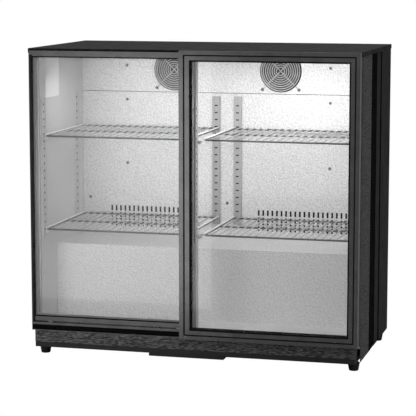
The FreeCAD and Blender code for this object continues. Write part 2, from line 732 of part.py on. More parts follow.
def cable_gland():
    """Flanged bush in the rear grille; its bore takes the mains lead."""
    x, z = GLAND
    bush = rod((x, BACK - 16, z), (x, BACK - 1.5, z), GLAND_BODY_R - 0.1)
    flange = rod((x, BACK - 5, z), (x, BACK - 1.5, z), GLAND_BODY_R + 4)
    nose = rod((x, BACK - 2, z), (x, BACK, z), GLAND_BODY_R - 0.1)
    return fuse([bush, flange, nose]).cut(rod((x, BACK - 20, z), (x, BACK + 1, z), GLAND_BORE_R))


# ---------------------------------------------------------------- front housing
def header_track():
    """Extrusion with two lips; the rear door's top edge runs between them."""
    y0, y1 = HOUSING_Y
    x = (-SIDE_X + LIP, SIDE_X - LIP)
    front = box(x, (y0, y0 + LIP), (HEADER_Z, 829))
    web = box(x, (y0, y1), (827, 829))
    back = box(x, (y1 - LIP, y1), (HEADER_Z, 829))
    return fuse([front, web, back])


def sill_track():
    """Extrusion with the front door's recess below and the rear door's track on top."""
    y0, y1 = HOUSING_Y
    x = (-SIDE_X + LIP, SIDE_X - LIP)
    low = PLINTH_Z[1]
    floor = box(x, (y0, y1), (low, low + 2))
    deck = box(x, (y0, y1), (SILL_DECK_Z - 2, SILL_DECK_Z))
    back = box(x, (y1 - LIP, y1), (low, SILL_DECK_Z + 6))
    lip = box(x, (y0, y0 + LIP), (SILL_DECK_Z - 2, SILL_DECK_Z + 4.5))
    web = box(x, (-213, -211), (low, SILL_DECK_Z))
    rail = box(x, (-214, -212), (SILL_DECK_Z - 1, SILL_DECK_Z + 2))
    return fuse([floor, deck, back, lip, web, rail])


def jamb(side):
    """Channel at the end of the housing, open towards the doors."""
    y0, y1 = HOUSING_Y
    z = (PLINTH_Z[1], HEIGHT - 4)
    web = box((side * SIDE_X, side * (SIDE_X - LIP + 0.1)), (y0, y1), z)
    front = box((side * SIDE_X, side * JAMB_INNER_X), (y0, y0 + LIP), (SILL_DECK_Z + 5, HEADER_Z - 0.5))
    back = box((side * SIDE_X, side * WALL_X), (y1 - LIP, y1), (SILL_DECK_Z + 6.5, HEADER_Z - 0.5))
    return fuse([web, front, back])


# ---------------------------------------------------------------- doors
# A frame section is a list of corners: how far inwards from the door's edge, and how far
# behind its front face. A wider bar has the same section, stretched, so its mitres stay flat.
FRONT_SECTION = [(0, 0), (10, 0), (10, 3), (13.5, 3), (13.5, 0.6), (24, 0.6), (24, 4), (17, 4), (17, 19),
                 (0, 19)]
REAR_SECTION = [(0, 0), (5.2, 0), (5.2, 0.8), (6.8, 0.8), (6.8, 0), (12, 0), (12, 2), (6, 2), (6, 16), (12, 16),
                (12, 18), (0, 18)]
GRIP_STRETCH = 28.0 / 24.0       # the front door's grip bar is wider than the others
SLIM_STRETCH = 0.38              # the rear door's outer bar is narrower


def frame_bars(x, z, y_front, section, left_stretch=1.0):
    """Four mitred bars of one section around a rectangle."""
    (x0, x1), (z0, z1) = x, z
    corners = {"bl": [], "br": [], "tr": [], "tl": []}
    for inwards, depth in section:
        y = y_front + depth
        left = x0 + inwards * left_stretch
        corners["bl"].append((left, y, z0 + inwards))
        corners["br"].append((x1 - inwards, y, z0 + inwards))
        corners["tr"].append((x1 - inwards, y, z1 - inwards))
        corners["tl"].append((left, y, z1 - inwards))
    return {
        "left": bar_between(corners["bl"], corners["tl"]),
        "right": bar_between(corners["br"], corners["tr"]),
        "bottom": bar_between(corners["bl"], corners["br"]),
        "top": bar_between(corners["tl"], corners["tr"]),
    }


def sheet_ring(x, z, y, width):
    """Rectangular ring of constant width."""
    outer = box(x, y, z)
    y_wide = (y[0] - 1, y[1] + 1)
    return outer.cut(box((x[0] + width, x[1] - width), y_wide, (z[0] + width, z[1] - width)))


def panes(x, z, y_first):
    """Two panes with an air gap."""
    second = y_first + PANE + PANE_GAP
    return [box(x, (y_first, y_first + PANE), z), box(x, (second, second + PANE), z)]


FRONT_ROLLER_X = (60.0, 400.0)
FRONT_ROLLER_Z = PLINTH_Z[1] + 2 + TRACK_GAP + FRONT_ROLLER_R
FRONT_ROLLER_Y = (-221.0 - ROLLER_WIDTH, -221.0)
REAR_ROLLER_X = (-400.0, -40.0)
REAR_ROLLER_Z = SILL_DECK_Z + 2 + TRACK_GAP + REAR_ROLLER_R
REAR_ROLLER_Y = (-210.0 - ROLLER_WIDTH, -210.0)


def front_door_frame():
    """Mitred bars; the top bar carries the guide blade and the bottom bar the axle holes."""
    bars = frame_bars(FRONT_DOOR_X, FRONT_DOOR_Z, FRONT_DOOR_Y, FRONT_SECTION, GRIP_STRETCH)
    rear_face = FRONT_DOOR_Y + FRONT_SECTION[-1][1]
    blade = box((10, 439), (rear_face - 1, -222.0), (829.8, 831.0))
    bars["top"] = fuse([bars["top"], blade])
    holes = [rod((x, rear_face - 9, FRONT_ROLLER_Z), (x, rear_face + 1, FRONT_ROLLER_Z), AXLE_R + RUNNING)
             for x in FRONT_ROLLER_X]
    bars["bottom"] = cut(bars["bottom"], holes)
    return list(bars.values())


def front_door_glazing_box():
    edge = 17.3
    return ((FRONT_DOOR_X[0] + edge * GRIP_STRETCH, FRONT_DOOR_X[1] - edge),
            (FRONT_DOOR_Z[0] + edge, FRONT_DOOR_Z[1] - edge))


def front_door_gasket():
    """Seal lip between the frame and the front pane."""
    x = (FRONT_DOOR_X[0] + 28, FRONT_DOOR_X[1] - 24)
    z = (FRONT_DOOR_Z[0] + 24, FRONT_DOOR_Z[1] - 24)
    return sheet_ring(x, z, (FRONT_DOOR_Y + 1.6, FRONT_DOOR_Y + 4.2), 4.0)


def rear_door_frame():
    """Slim mitred bars; the bottom bar has pockets for the rollers and holes for their axles."""
    bars = frame_bars(REAR_DOOR_X, REAR_DOOR_Z, REAR_DOOR_Y, REAR_SECTION, SLIM_STRETCH)
    tools = []
    for x in REAR_ROLLER_X:
        tools.append(box((x - 8.5, x + 8.5), (-217, -209), (REAR_DOOR_Z[0] - 1, REAR_DOOR_Z[0] + 10)))
        tools.append(rod((x, -220, REAR_ROLLER_Z), (x, -206, REAR_ROLLER_Z), AXLE_R + RUNNING))
    bars["bottom"] = cut(bars["bottom"], tools)
    return list(bars.values())


def rear_door_glazing_box():
    edge = 6.3
    return ((REAR_DOOR_X[0] + edge * SLIM_STRETCH, REAR_DOOR_X[1] - edge),
            (REAR_DOOR_Z[0] + 10.5, REAR_DOOR_Z[1] - edge))


def roller(x, z, radius, y, axle_y):
    """Plain wheel in one piece with its axle."""
    wheel = rod((x, y[0], z), (x, y[1], z), radius)
    axle = rod((x, axle_y[0], z), (x, axle_y[1], z), AXLE_R)
    return fuse([wheel, axle])


# ---------------------------------------------------------------- write every piece
def write_cabinet():
    save("top_panel", top_panel())
    save("side_panel_left", side_panel(-1))
    save("side_panel_right", side_panel(1))
    save("rear_panel", rear_panel())
    save("rear_grille", rear_grille())
    save("base_tray", base_tray())
    save("plinth", plinth())
    save("condensate_tray", condensate_tray())
    for name, x, y in (("foot_front_left", -FOOT_X, FOOT_Y[0]), ("foot_front_right", FOOT_X, FOOT_Y[0]),
                       ("foot_rear_left", -FOOT_X, FOOT_Y[1]), ("foot_rear_right", FOOT_X, FOOT_Y[1])):
        save(name, moved(foot(), x, y))
    save("foam_insulation", *insulation())
    save("liner_left", liner_wall(-1))
    save("liner_right", liner_wall(1))
    for name, sheet in liner_sheets().items():
        save(name, sheet)


def write_interior():
    save("fan_panel", fan_panel())
    save("duct_panel", duct_panel())
    save("panel_screws", *panel_screws())
    save("shelf_standards", *shelf_standards())
    save("centre_post", centre_post())
    save("shelf_clips", *shelf_clips())
    save("wall_label", label())
    right = shelf()
    left = mirror_x(right)
    for level, top in zip(("upper", "lower"), SHELF_TOPS):
        save("shelf_" + level + "_left", moved(left, z=top))
        save("shelf_" + level + "_right", moved(right, z=top))


def write_refrigeration():
    guard = fan_guard()
    housing = fan_housing()
    impeller = blade_wheel(17, 50, (FAN_Y[0] + 2, FAN_Y[0] + 24), 7, FAN_SHAFT_R, FAN_Y[1] - 6)
    save("fan_guards", *[moved(guard, s * FAN_X, 0, FAN_Z) for s in (-1, 1)])
    save("fan_motors", *[moved(housing, s * FAN_X, 0, FAN_Z) for s in (-1, 1)])
    save("fan_impeller_left", moved(impeller, -FAN_X, 0, FAN_Z))
    save("fan_impeller_right", moved(impeller, FAN_X, 0, FAN_Z))
    save("evaporator", evaporator())
    save("compressor", compressor())
    save("compressor_mounts", *compressor_mounts())
    save("condenser", condenser())
    save("condenser_fan_motor", condenser_fan_motor())
    blade = blade_wheel(16, 75, (150, 172), 5, CONDENSER_SHAFT_R, 122)
    save("condenser_fan_blade", moved(blade, CONDENSER_FAN[0], 0, CONDENSER_FAN[1]))
    save("refrigerant_pipes", *refrigerant_pipes())
    save("control_plate", control_plate())
    save("thermostat_knob", thermostat_knob())
    save("power_switch", power_switch())
    save("cable_gland", cable_gland())


def write_doors():
    save("header_track", header_track())
    save("sill_track", sill_track())
    save("jambs", jamb(-1), jamb(1))
    save("front_door_frame", *front_door_frame())
    x, z = front_door_glazing_box()
    first = FRONT_DOOR_Y + 4.3
    save("front_door_glass", *panes(x, z, first))
    save("front_door_spacer", sheet_ring(x, z, (first + PANE, first + PANE + PANE_GAP), 9.0))
    save("front_door_gasket", front_door_gasket())
    save("rear_door_frame", *rear_door_frame())
    x, z = rear_door_glazing_box()
    first = REAR_DOOR_Y + 2.0
    save("rear_door_glass", *panes(x, z, first))
    save("rear_door_spacer", sheet_ring(x, z, (first + PANE, first + PANE + PANE_GAP), 9.0))
    for name, x in zip(("left", "right"), FRONT_ROLLER_X):
        wheel = roller(x, FRONT_ROLLER_Z, FRONT_ROLLER_R, FRONT_ROLLER_Y, (-239, -221))
        save("front_door_roller_" + name, wheel)
    for name, x in zip(("left", "right"), REAR_ROLLER_X):
        wheel = roller(x, REAR_ROLLER_Z, REAR_ROLLER_R, REAR_ROLLER_Y, (-219, -207))
        save("rear_door_roller_" + name, wheel)


write_cabinet()
write_interior()
write_refrigeration()
write_doors()
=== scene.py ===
"""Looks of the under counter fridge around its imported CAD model.

Metres, +Z up, front towards -Y, in the CAD model's own frame. The camera and the studio come
first, then the materials, then the pieces that stand for plain CAD nodes.
"""
import json
import math

import bmesh
import bpy
from mathutils import Matrix, Vector


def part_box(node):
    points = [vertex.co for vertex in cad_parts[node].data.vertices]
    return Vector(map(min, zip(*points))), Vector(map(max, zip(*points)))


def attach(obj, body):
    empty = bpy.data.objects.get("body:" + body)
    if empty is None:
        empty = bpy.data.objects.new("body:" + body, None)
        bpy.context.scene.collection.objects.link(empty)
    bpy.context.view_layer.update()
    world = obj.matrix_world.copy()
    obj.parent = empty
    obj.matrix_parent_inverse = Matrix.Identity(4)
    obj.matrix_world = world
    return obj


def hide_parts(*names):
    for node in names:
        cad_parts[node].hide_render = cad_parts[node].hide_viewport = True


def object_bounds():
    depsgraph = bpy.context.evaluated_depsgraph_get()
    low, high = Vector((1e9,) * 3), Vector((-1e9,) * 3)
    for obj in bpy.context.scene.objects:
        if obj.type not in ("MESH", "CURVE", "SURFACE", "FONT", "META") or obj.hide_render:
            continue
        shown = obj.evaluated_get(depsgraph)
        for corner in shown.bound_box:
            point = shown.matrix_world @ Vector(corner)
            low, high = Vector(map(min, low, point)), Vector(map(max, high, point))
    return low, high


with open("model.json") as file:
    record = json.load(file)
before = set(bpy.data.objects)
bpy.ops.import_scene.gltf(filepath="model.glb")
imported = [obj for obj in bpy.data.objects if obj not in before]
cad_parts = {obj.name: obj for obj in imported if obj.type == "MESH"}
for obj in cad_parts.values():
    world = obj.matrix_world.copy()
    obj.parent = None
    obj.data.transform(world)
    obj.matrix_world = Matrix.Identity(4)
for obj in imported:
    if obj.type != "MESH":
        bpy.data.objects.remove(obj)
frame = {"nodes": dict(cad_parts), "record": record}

CAD_LOW, CAD_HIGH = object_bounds()
NODES = frame["nodes"]
SCENE = bpy.context.scene
MM = 0.001

# ---------------------------------------------------------------- camera
VIEW_AZIMUTH = math.radians(14.7)
VIEW_ELEVATION = math.radians(8.0)
VIEW_DISTANCE = 4.848
VIEW_TARGET = Vector((-0.0143, 0.0, 0.3902))
LENS_MM = 152.2


def make_camera():
    data = bpy.data.cameras.new("camera")
    data.lens = LENS_MM
    data.sensor_width = 36.0
    data.clip_end = 200.0
    camera = bpy.data.objects.new("camera", data)
    flat = math.cos(VIEW_ELEVATION)
    back = Vector((math.sin(VIEW_AZIMUTH) * flat, -math.cos(VIEW_AZIMUTH) * flat, math.sin(VIEW_ELEVATION)))
    camera.location = VIEW_TARGET + back * VIEW_DISTANCE
    camera.rotation_mode = "QUATERNION"
    camera.rotation_quaternion = (-back).to_track_quat("-Z", "Y")
    SCENE.collection.objects.link(camera)
    SCENE.camera = camera


# ---------------------------------------------------------------- studio
FLOOR_HALF = 60.0
FLOOR_GREY = 0.30                            # what every ray but the camera's meets
SKY_SHARE = (0.05, 0.75)                     # from the horizon up, where the sky's light grows
CARD_X = -0.41                               # soft card in front of the left half
CARD_PLACE = (CARD_X, -0.92, 0.39)
CARD_AIM = (CARD_X, 0.0, 0.39)
CARD_SIZE = (0.58, 0.75)
CARD_WATTS = 1.65
CABINET_LAMPS = {                            # name: x and watts; lights only, not pieces of the object
    "cabinet_left": (-0.20, 0.56),
    "cabinet_right": (0.22, 1.22),
}
LAMP_YZ = (-0.160, 0.790)                    # under the ceiling, behind the doors
LAMP_AIM_YZ = (0.10, 0.44)
LAMP_SIZE = (0.32, 0.05)
LAMP_SPREAD = 130.0


def add_light(name, kind, place, aim, watts):
    data = bpy.data.lights.new(name, kind)
    data.energy = watts
    light = bpy.data.objects.new(name, data)
    light.location = place
    light.rotation_mode = "QUATERNION"
    light.rotation_quaternion = (Vector(aim) - Vector(place)).to_track_quat("-Z", "Y")
    SCENE.collection.objects.link(light)
    return data


def area_light(name, place, aim, size, watts, spread=180.0, unseen=False):
    data = add_light(name, "AREA", place, aim, watts)
    data.spread = math.radians(spread)
    data.shape = "RECTANGLE"
    data.size, data.size_y = size
    bpy.data.objects[name].visible_camera = not unseen


def camera_mix(tree, ordinary, seen):
    """Shader that the camera sees as one thing and all other rays as another."""
    mix = tree.nodes.new("ShaderNodeMixShader")
    path = tree.nodes.new("ShaderNodeLightPath")
    tree.links.new(path.outputs["Is Camera Ray"], mix.inputs[0])
    tree.links.new(ordinary.outputs[0], mix.inputs[1])
    tree.links.new(seen.outputs[0], mix.inputs[2])
    return mix


def make_world(backdrop, low, high):
    """White behind the object; for its light, dim at the horizon and bright overhead."""
    world = bpy.data.worlds.new("studio")
    world.use_nodes = True
    tree = world.node_tree
    tree.nodes.clear()
    output = tree.nodes.new("ShaderNodeOutputWorld")
    seen = tree.nodes.new("ShaderNodeBackground")
    seen.inputs["Strength"].default_value = backdrop
    lit = tree.nodes.new("ShaderNodeBackground")
    place = tree.nodes.new("ShaderNodeTexCoord")
    split = tree.nodes.new("ShaderNodeSeparateXYZ")
    rise = tree.nodes.new("ShaderNodeMapRange")
    rise.inputs["From Min"].default_value = SKY_SHARE[0]
    rise.inputs["From Max"].default_value = SKY_SHARE[1]
    rise.inputs["To Min"].default_value = low
    rise.inputs["To Max"].default_value = high
    tree.links.new(place.outputs["Generated"], split.inputs[0])
    tree.links.new(split.outputs[2], rise.inputs["Value"])
    tree.links.new(rise.outputs[0], lit.inputs["Strength"])
    mix = camera_mix(tree, lit, seen)
    tree.links.new(mix.outputs[0], output.inputs[0])
    SCENE.world = world


def floor_material():
    """Floor that the camera sees as plain white; all other rays meet pale grey paint."""
    material = blank_material("studio_floor_paint")
    tree = material.node_tree
    plain = tree.nodes.new("ShaderNodeBsdfDiffuse")
    plain.inputs["Color"].default_value = (FLOOR_GREY, FLOOR_GREY, FLOOR_GREY, 1.0)
    pale = tree.nodes.new("ShaderNodeEmission")
    pale.inputs["Color"].default_value = (1.0, 1.0, 1.0, 1.0)
    output = tree.nodes.new("ShaderNodeOutputMaterial")
    mix = camera_mix(tree, plain, pale)
    tree.links.new(mix.outputs[0], output.inputs[0])
    return material


def make_floor():
    half = FLOOR_HALF
    mesh = bpy.data.meshes.new("studio_floor")
    corners = [(-half, -half, 0), (half, -half, 0), (half, half, 0), (-half, half, 0)]
    mesh.from_pydata(corners, [], [(0, 1, 2, 3)])
    floor = bpy.data.objects.new("studio_floor", mesh)
    SCENE.collection.objects.link(floor)
    floor.data.materials.append(floor_material())


def make_studio():
    SCENE.view_settings.view_transform = "Standard"
    make_world(backdrop=1.0, low=0.10, high=1.0)
    sun = add_light("overhead", "SUN", (0.3, 1.2, 4.0), (0, 0, 0), 0.9)
    sun.angle = math.radians(25)
    area_light("front_card", CARD_PLACE, CARD_AIM, CARD_SIZE, CARD_WATTS, unseen=True)
    area_light("front_fill", (-0.8, -4.5, 1.6), (0, 0, 0.4), (2.5, 1.6), 4)
    for name, (x, watts) in CABINET_LAMPS.items():
        area_light(name, (x, *LAMP_YZ), (x, *LAMP_AIM_YZ), LAMP_SIZE, watts, LAMP_SPREAD, unseen=True)


# ---------------------------------------------------------------- materials
def blank_material(name):
    material = bpy.data.materials.new(name)
    material.use_nodes = True
    material.node_tree.nodes.clear()
    return material


class Surface:
    """A Principled material whose colour, roughness and bump follow noise in the model's own metres."""

    def __init__(self, name, roughness, metallic=0.0, specular=0.5):
        self.material = blank_material(name)
        self.tree = self.material.node_tree
        self.shader = self.add("ShaderNodeBsdfPrincipled")
        self.shader.inputs["Roughness"].default_value = roughness
        self.shader.inputs["Metallic"].default_value = metallic
        self.shader.inputs["Specular IOR Level"].default_value = specular
        output = self.add("ShaderNodeOutputMaterial")
        self.link(self.shader.outputs[0], output.inputs[0])
        self.place = self.add("ShaderNodeTexCoord").outputs["Object"]

    def add(self, kind):
        return self.tree.nodes.new(kind)

    def link(self, start, end):
        self.tree.links.new(start, end)

    def noise(self, size_mm, detail=2.0, stretch=(1, 1, 1), tilt_degrees=0.0):
        """Noise with patches of about size_mm, longer along the axes with a larger stretch."""
        turn = self.add("ShaderNodeMapping")
        turn.inputs["Rotation"].default_value = (0.0, math.radians(tilt_degrees), 0.0)
        mapping = self.add("ShaderNodeMapping")
        mapping.inputs["Scale"].default_value = [1.0 / s for s in stretch]
        texture = self.add("ShaderNodeTexNoise")
        texture.inputs["Scale"].default_value = 1.0 / (size_mm * MM)
        texture.inputs["Detail"].default_value = detail
        self.link(self.place, turn.inputs[0])
        self.link(turn.outputs[0], mapping.inputs[0])
        self.link(mapping.outputs[0], texture.inputs["Vector"])
        return texture.outputs["Fac"]

    def cells(self, size_mm):
        texture = self.add("ShaderNodeTexVoronoi")
        texture.inputs["Scale"].default_value = 1.0 / (size_mm * MM)
        self.link(self.place, texture.inputs["Vector"])
        return texture.outputs["Distance"]

    def along(self, axis, start, end):
        """0 to 1 along an axis between two places in metres."""
        split = self.add("ShaderNodeSeparateXYZ")
        span = self.add("ShaderNodeMapRange")
        span.inputs["From Min"].default_value = start
        span.inputs["From Max"].default_value = end
        self.link(self.place, split.inputs[0])
        self.link(split.outputs[axis], span.inputs["Value"])
        return span.outputs[0]

    def steps(self, value, levels):
        """Step function: levels is a list of (position, grey level)."""
        node = self.add("ShaderNodeValToRGB")
        node.color_ramp.interpolation = "CONSTANT"
        stops = node.color_ramp.elements
        while len(stops) < len(levels):
            stops.new(1.0)
        for stop, (position, level) in zip(stops, levels):
            stop.position = position
            stop.color = (level, level, level, 1.0)
        self.link(value, node.inputs[0])
        return node.outputs[0]

    def product(self, first, second):
        node = self.add("ShaderNodeMix")
        node.data_type = "RGBA"
        node.blend_type = "MULTIPLY"
        node.inputs["Factor"].default_value = 1.0
        self.link(first, node.inputs["A"])
        self.link(second, node.inputs["B"])
        return node.outputs["Result"]

    def ramp(self, value, low, high, start=0.3, end=0.7):
        """Colour that runs from low to high as value runs from start to end."""
        node = self.add("ShaderNodeValToRGB")
        first, last = node.color_ramp.elements
        first.position, last.position = start, end
        first.color, last.color = (*low, 1.0), (*high, 1.0)
        self.link(value, node.inputs[0])
        return node.outputs[0]

    def colour(self, value, low, high, start=0.3, end=0.7):
        self.link(self.ramp(value, low, high, start, end), self.shader.inputs["Base Color"])
        return self

    def roughness(self, value, low, high):
        node = self.add("ShaderNodeMapRange")
        node.inputs["From Min"].default_value = 0.3
        node.inputs["From Max"].default_value = 0.7
        node.inputs["To Min"].default_value = low
        node.inputs["To Max"].default_value = high
        self.link(value, node.inputs["Value"])
        self.link(node.outputs[0], self.shader.inputs["Roughness"])
        return self

    def bump(self, value, height_mm, strength=1.0):
        node = self.add("ShaderNodeBump")
        node.inputs["Distance"].default_value = height_mm * MM
        node.inputs["Strength"].default_value = strength
        self.link(value, node.inputs["Height"])
        previous = self.shader.inputs["Normal"]
        if previous.is_linked:
            self.link(previous.links[0].from_socket, node.inputs["Normal"])
        self.link(node.outputs[0], previous)
        return self


def grey(value):
    return (value, value, value)


def textured_paint(name, low, high, stretch, specular=0.3):
    """Black powder coat over embossed sheet: a fine raised grain."""
    surface = Surface(name, 0.5, 0.0, specular)
    grain = surface.noise(1.3, 3.0, stretch)
    surface.colour(grain, grey(low), grey(high), 0.42, 0.72)
    surface.roughness(surface.noise(40.0), 0.46, 0.60)
    surface.bump(grain, 0.5, 0.7)
    return surface.material


SIDE_RANGE = (-0.198, 0.250)     # y of the side panel's front and rear edge
SIDE_SHADE_BANDS = [                   # y where each band starts, and its tone: every tone below 1.0 is painted shade and dark reflection
    (-0.198, 1.0), (-0.070, 0.05), (0.014, 0.75), (0.074, 0.06), (0.095, 0.75), (0.240, 0.06),
]


def side_paint(name):
    """The same grain in the side's front band and plain paint behind it. Painted shade and dark reflection
    fall in bands along the side and are near black over the beads, and their specular drops with the tone.
    """
    surface = Surface(name, 0.6, 0.0, 0.12)
    grain = surface.noise(2.2, 1.0, (1, 2, 1.3))
    span = SIDE_RANGE[1] - SIDE_RANGE[0]
    way = surface.along(1, *SIDE_RANGE)
    # painted shade: darker behind the front band and near black over the beads
    shade = surface.steps(way, [((y - SIDE_RANGE[0]) / span, level) for y, level in SIDE_SHADE_BANDS])
    front = surface.steps(way, [(0.0, 1.0), ((SIDE_SHADE_BANDS[1][0] - SIDE_RANGE[0]) / span, 0.05)])
    fleck = surface.product(surface.ramp(grain, grey(0.0), grey(1.0), 0.48, 0.62), front)
    coat = surface.ramp(fleck, grey(0.018), grey(0.220), 0.0, 1.0)
    surface.link(surface.product(coat, shade), surface.shader.inputs["Base Color"])
    # specular follows the painted shade, so the dark bands reflect almost nothing
    gloss = surface.steps(way, [((y - SIDE_RANGE[0]) / span, 0.12 * level) for y, level in SIDE_SHADE_BANDS])
    surface.link(gloss, surface.shader.inputs["Specular IOR Level"])
    surface.roughness(surface.noise(50.0), 0.55, 0.65)
    surface.bump(fleck, 0.4, 0.6)
    return surface.material


ACROSS = (-0.5, 0.5)     # x range that the shares below are taken of
EDGE_X = 0.9488          # the front door's right edge
# share of the trim's colour right of the closing edge: painted shade
EDGE_SHADE_TONE = 0.2


def satin_trim(name, value, roughness, metallic=0.0, specular=0.5):
    """Dark extruded trim with faint drawing lines along its length; right of the front door's closing edge it
    is painted darker, as shade.
    """
    surface = Surface(name, roughness, metallic, specular)
    trim = surface.ramp(surface.noise(30.0), grey(value * 0.9), grey(value * 1.1))
    # painted shade on the closing edge and on all trim right of it
    edge = surface.steps(surface.along(0, *ACROSS), [(0.0, 1.0), (EDGE_X, EDGE_SHADE_TONE)])
    surface.link(surface.product(trim, edge), surface.shader.inputs["Base Color"])
    surface.roughness(surface.noise(60.0), roughness - 0.03, roughness + 0.03)
    surface.bump(surface.noise(0.8, 2.0, (20, 1, 20)), 0.01, 0.3)
    return surface.material


def stucco_aluminium(name, low, high, roughness, height_mm):
    """Bright sheet with a rolled pattern of short diagonal ripples."""
    surface = Surface(name, roughness, 0.25)
    pattern = surface.noise(2.1, 1.0, (1.0, 1.0, 2.2), -38.0)
    surface.colour(pattern, grey(low), grey(high), 0.36, 0.64)
    surface.roughness(surface.noise(60.0), roughness - 0.05, roughness + 0.05)
    surface.bump(pattern, height_mm, 1.0)
    return surface.material


def coated_sheet(name, low, high, roughness=0.35):
    """Smooth coated sheet with a trace of orange peel."""
    surface = Surface(name, roughness)
    surface.colour(surface.noise(120.0), grey(low), grey(high))
    surface.roughness(surface.noise(25.0), roughness - 0.05, roughness + 0.07)
    surface.bump(surface.noise(3.0, 1.0), 0.03, 0.5)
    return surface.material


def bright_metal(name, low, high, roughness, grain_mm=2.0):
    surface = Surface(name, roughness, 1.0)
    surface.colour(surface.noise(20.0), grey(low), grey(high))
    surface.roughness(surface.noise(grain_mm), roughness - 0.04, roughness + 0.06)
    surface.bump(surface.noise(grain_mm), 0.01, 0.3)
    return surface.material


REAR_TONE = 0.68         # of the two standards on the back wall, beside the others' 1.0
STANDARD_TONES = [(0.0, 1.0), (0.1, REAR_TONE), (0.494, 1.0), (0.506, REAR_TONE), (0.9, 1.0)]


def brushed_aluminium(name, low, high):
    """Satin extrusion, brushed along its height; the two on the back wall are given a darker tone than the
    others.
    """
    surface = Surface(name, 0.42, 0.2)
    brushed = surface.ramp(surface.noise(1.5, 2.0, (1, 1, 60)), grey(low), grey(high))
    walls = surface.steps(surface.along(0, *ACROSS), STANDARD_TONES)
    surface.link(surface.product(brushed, walls), surface.shader.inputs["Base Color"])
    surface.roughness(surface.noise(1.0, 2.0, (1, 1, 60)), 0.38, 0.50)
    surface.bump(surface.noise(0.8, 2.0, (1, 1, 60)), 0.02, 0.4)
    return surface.material


def moulded_plastic(name, low, high, roughness=0.5):
    surface = Surface(name, roughness)
    surface.colour(surface.noise(15.0), grey(low), grey(high))
    surface.roughness(surface.noise(6.0), roughness - 0.06, roughness + 0.06)
    surface.bump(surface.cells(0.7), 0.03, 0.5)
    return surface.material


def tinted(name, low, high, size_mm, roughness, metallic=0.0, bump_mm=0.1):
    """Two colours in patches, for foam, copper, rubber and film."""
    surface = Surface(name, roughness, metallic)
    patches = surface.noise(size_mm)
    surface.colour(patches, low, high)
    surface.roughness(patches, roughness - 0.05, roughness + 0.08)
    surface.bump(surface.noise(size_mm / 4), bump_mm, 0.5)
    return surface.material


def black_rubber_and_shade(name, low, high):
    """Dull black rubber and brush pile; also the black of the painted shade in the slots, in the sill's
    recess and behind the vents.
    """
    surface = Surface(name, 0.8, 0.0, 0.12)
    surface.colour(surface.noise(6.0), grey(low), grey(high))
    surface.roughness(surface.noise(3.0), 0.72, 0.88)
    surface.bump(surface.noise(0.9), 0.1, 0.5)
    return surface.material


def fin_block(name):
    """Stacked fins, a fine stripe across the block."""
    surface = Surface(name, 0.4, 1.0)
    wave = surface.add("ShaderNodeTexWave")
    wave.inputs["Scale"].default_value = 90.0
    wave.bands_direction = "X"
    surface.link(surface.place, wave.inputs["Vector"])
    surface.colour(wave.outputs["Fac"], grey(0.08), grey(0.72), 0.35, 0.65)
    surface.roughness(surface.noise(20.0), 0.32, 0.48)
    surface.bump(wave.outputs["Fac"], 0.8, 1.0)
    return surface.material


GLASS_TINT = 0.985
GLASS_SHADOW_TINT = 0.965
GLASS_IOR = 1.25


def pane_glass(name):
    """Clear glass that lets the lamps' light through."""
    material = blank_material(name)
    tree = material.node_tree
    shader = tree.nodes.new("ShaderNodeBsdfPrincipled")
    shader.inputs["Base Color"].default_value = (*grey(GLASS_TINT), 1.0)
    shader.inputs["Roughness"].default_value = 0.0
    shader.inputs["IOR"].default_value = GLASS_IOR
    shader.inputs["Transmission Weight"].default_value = 1.0
    clear = tree.nodes.new("ShaderNodeBsdfTransparent")
    clear.inputs["Color"].default_value = (*grey(GLASS_SHADOW_TINT), 1.0)
    path = tree.nodes.new("ShaderNodeLightPath")
    mix = tree.nodes.new("ShaderNodeMixShader")
    output = tree.nodes.new("ShaderNodeOutputMaterial")
    tree.links.new(path.outputs["Is Shadow Ray"], mix.inputs[0])
    tree.links.new(shader.outputs[0], mix.inputs[1])
    tree.links.new(clear.outputs[0], mix.inputs[2])
    tree.links.new(mix.outputs[0], output.inputs[0])
    return material


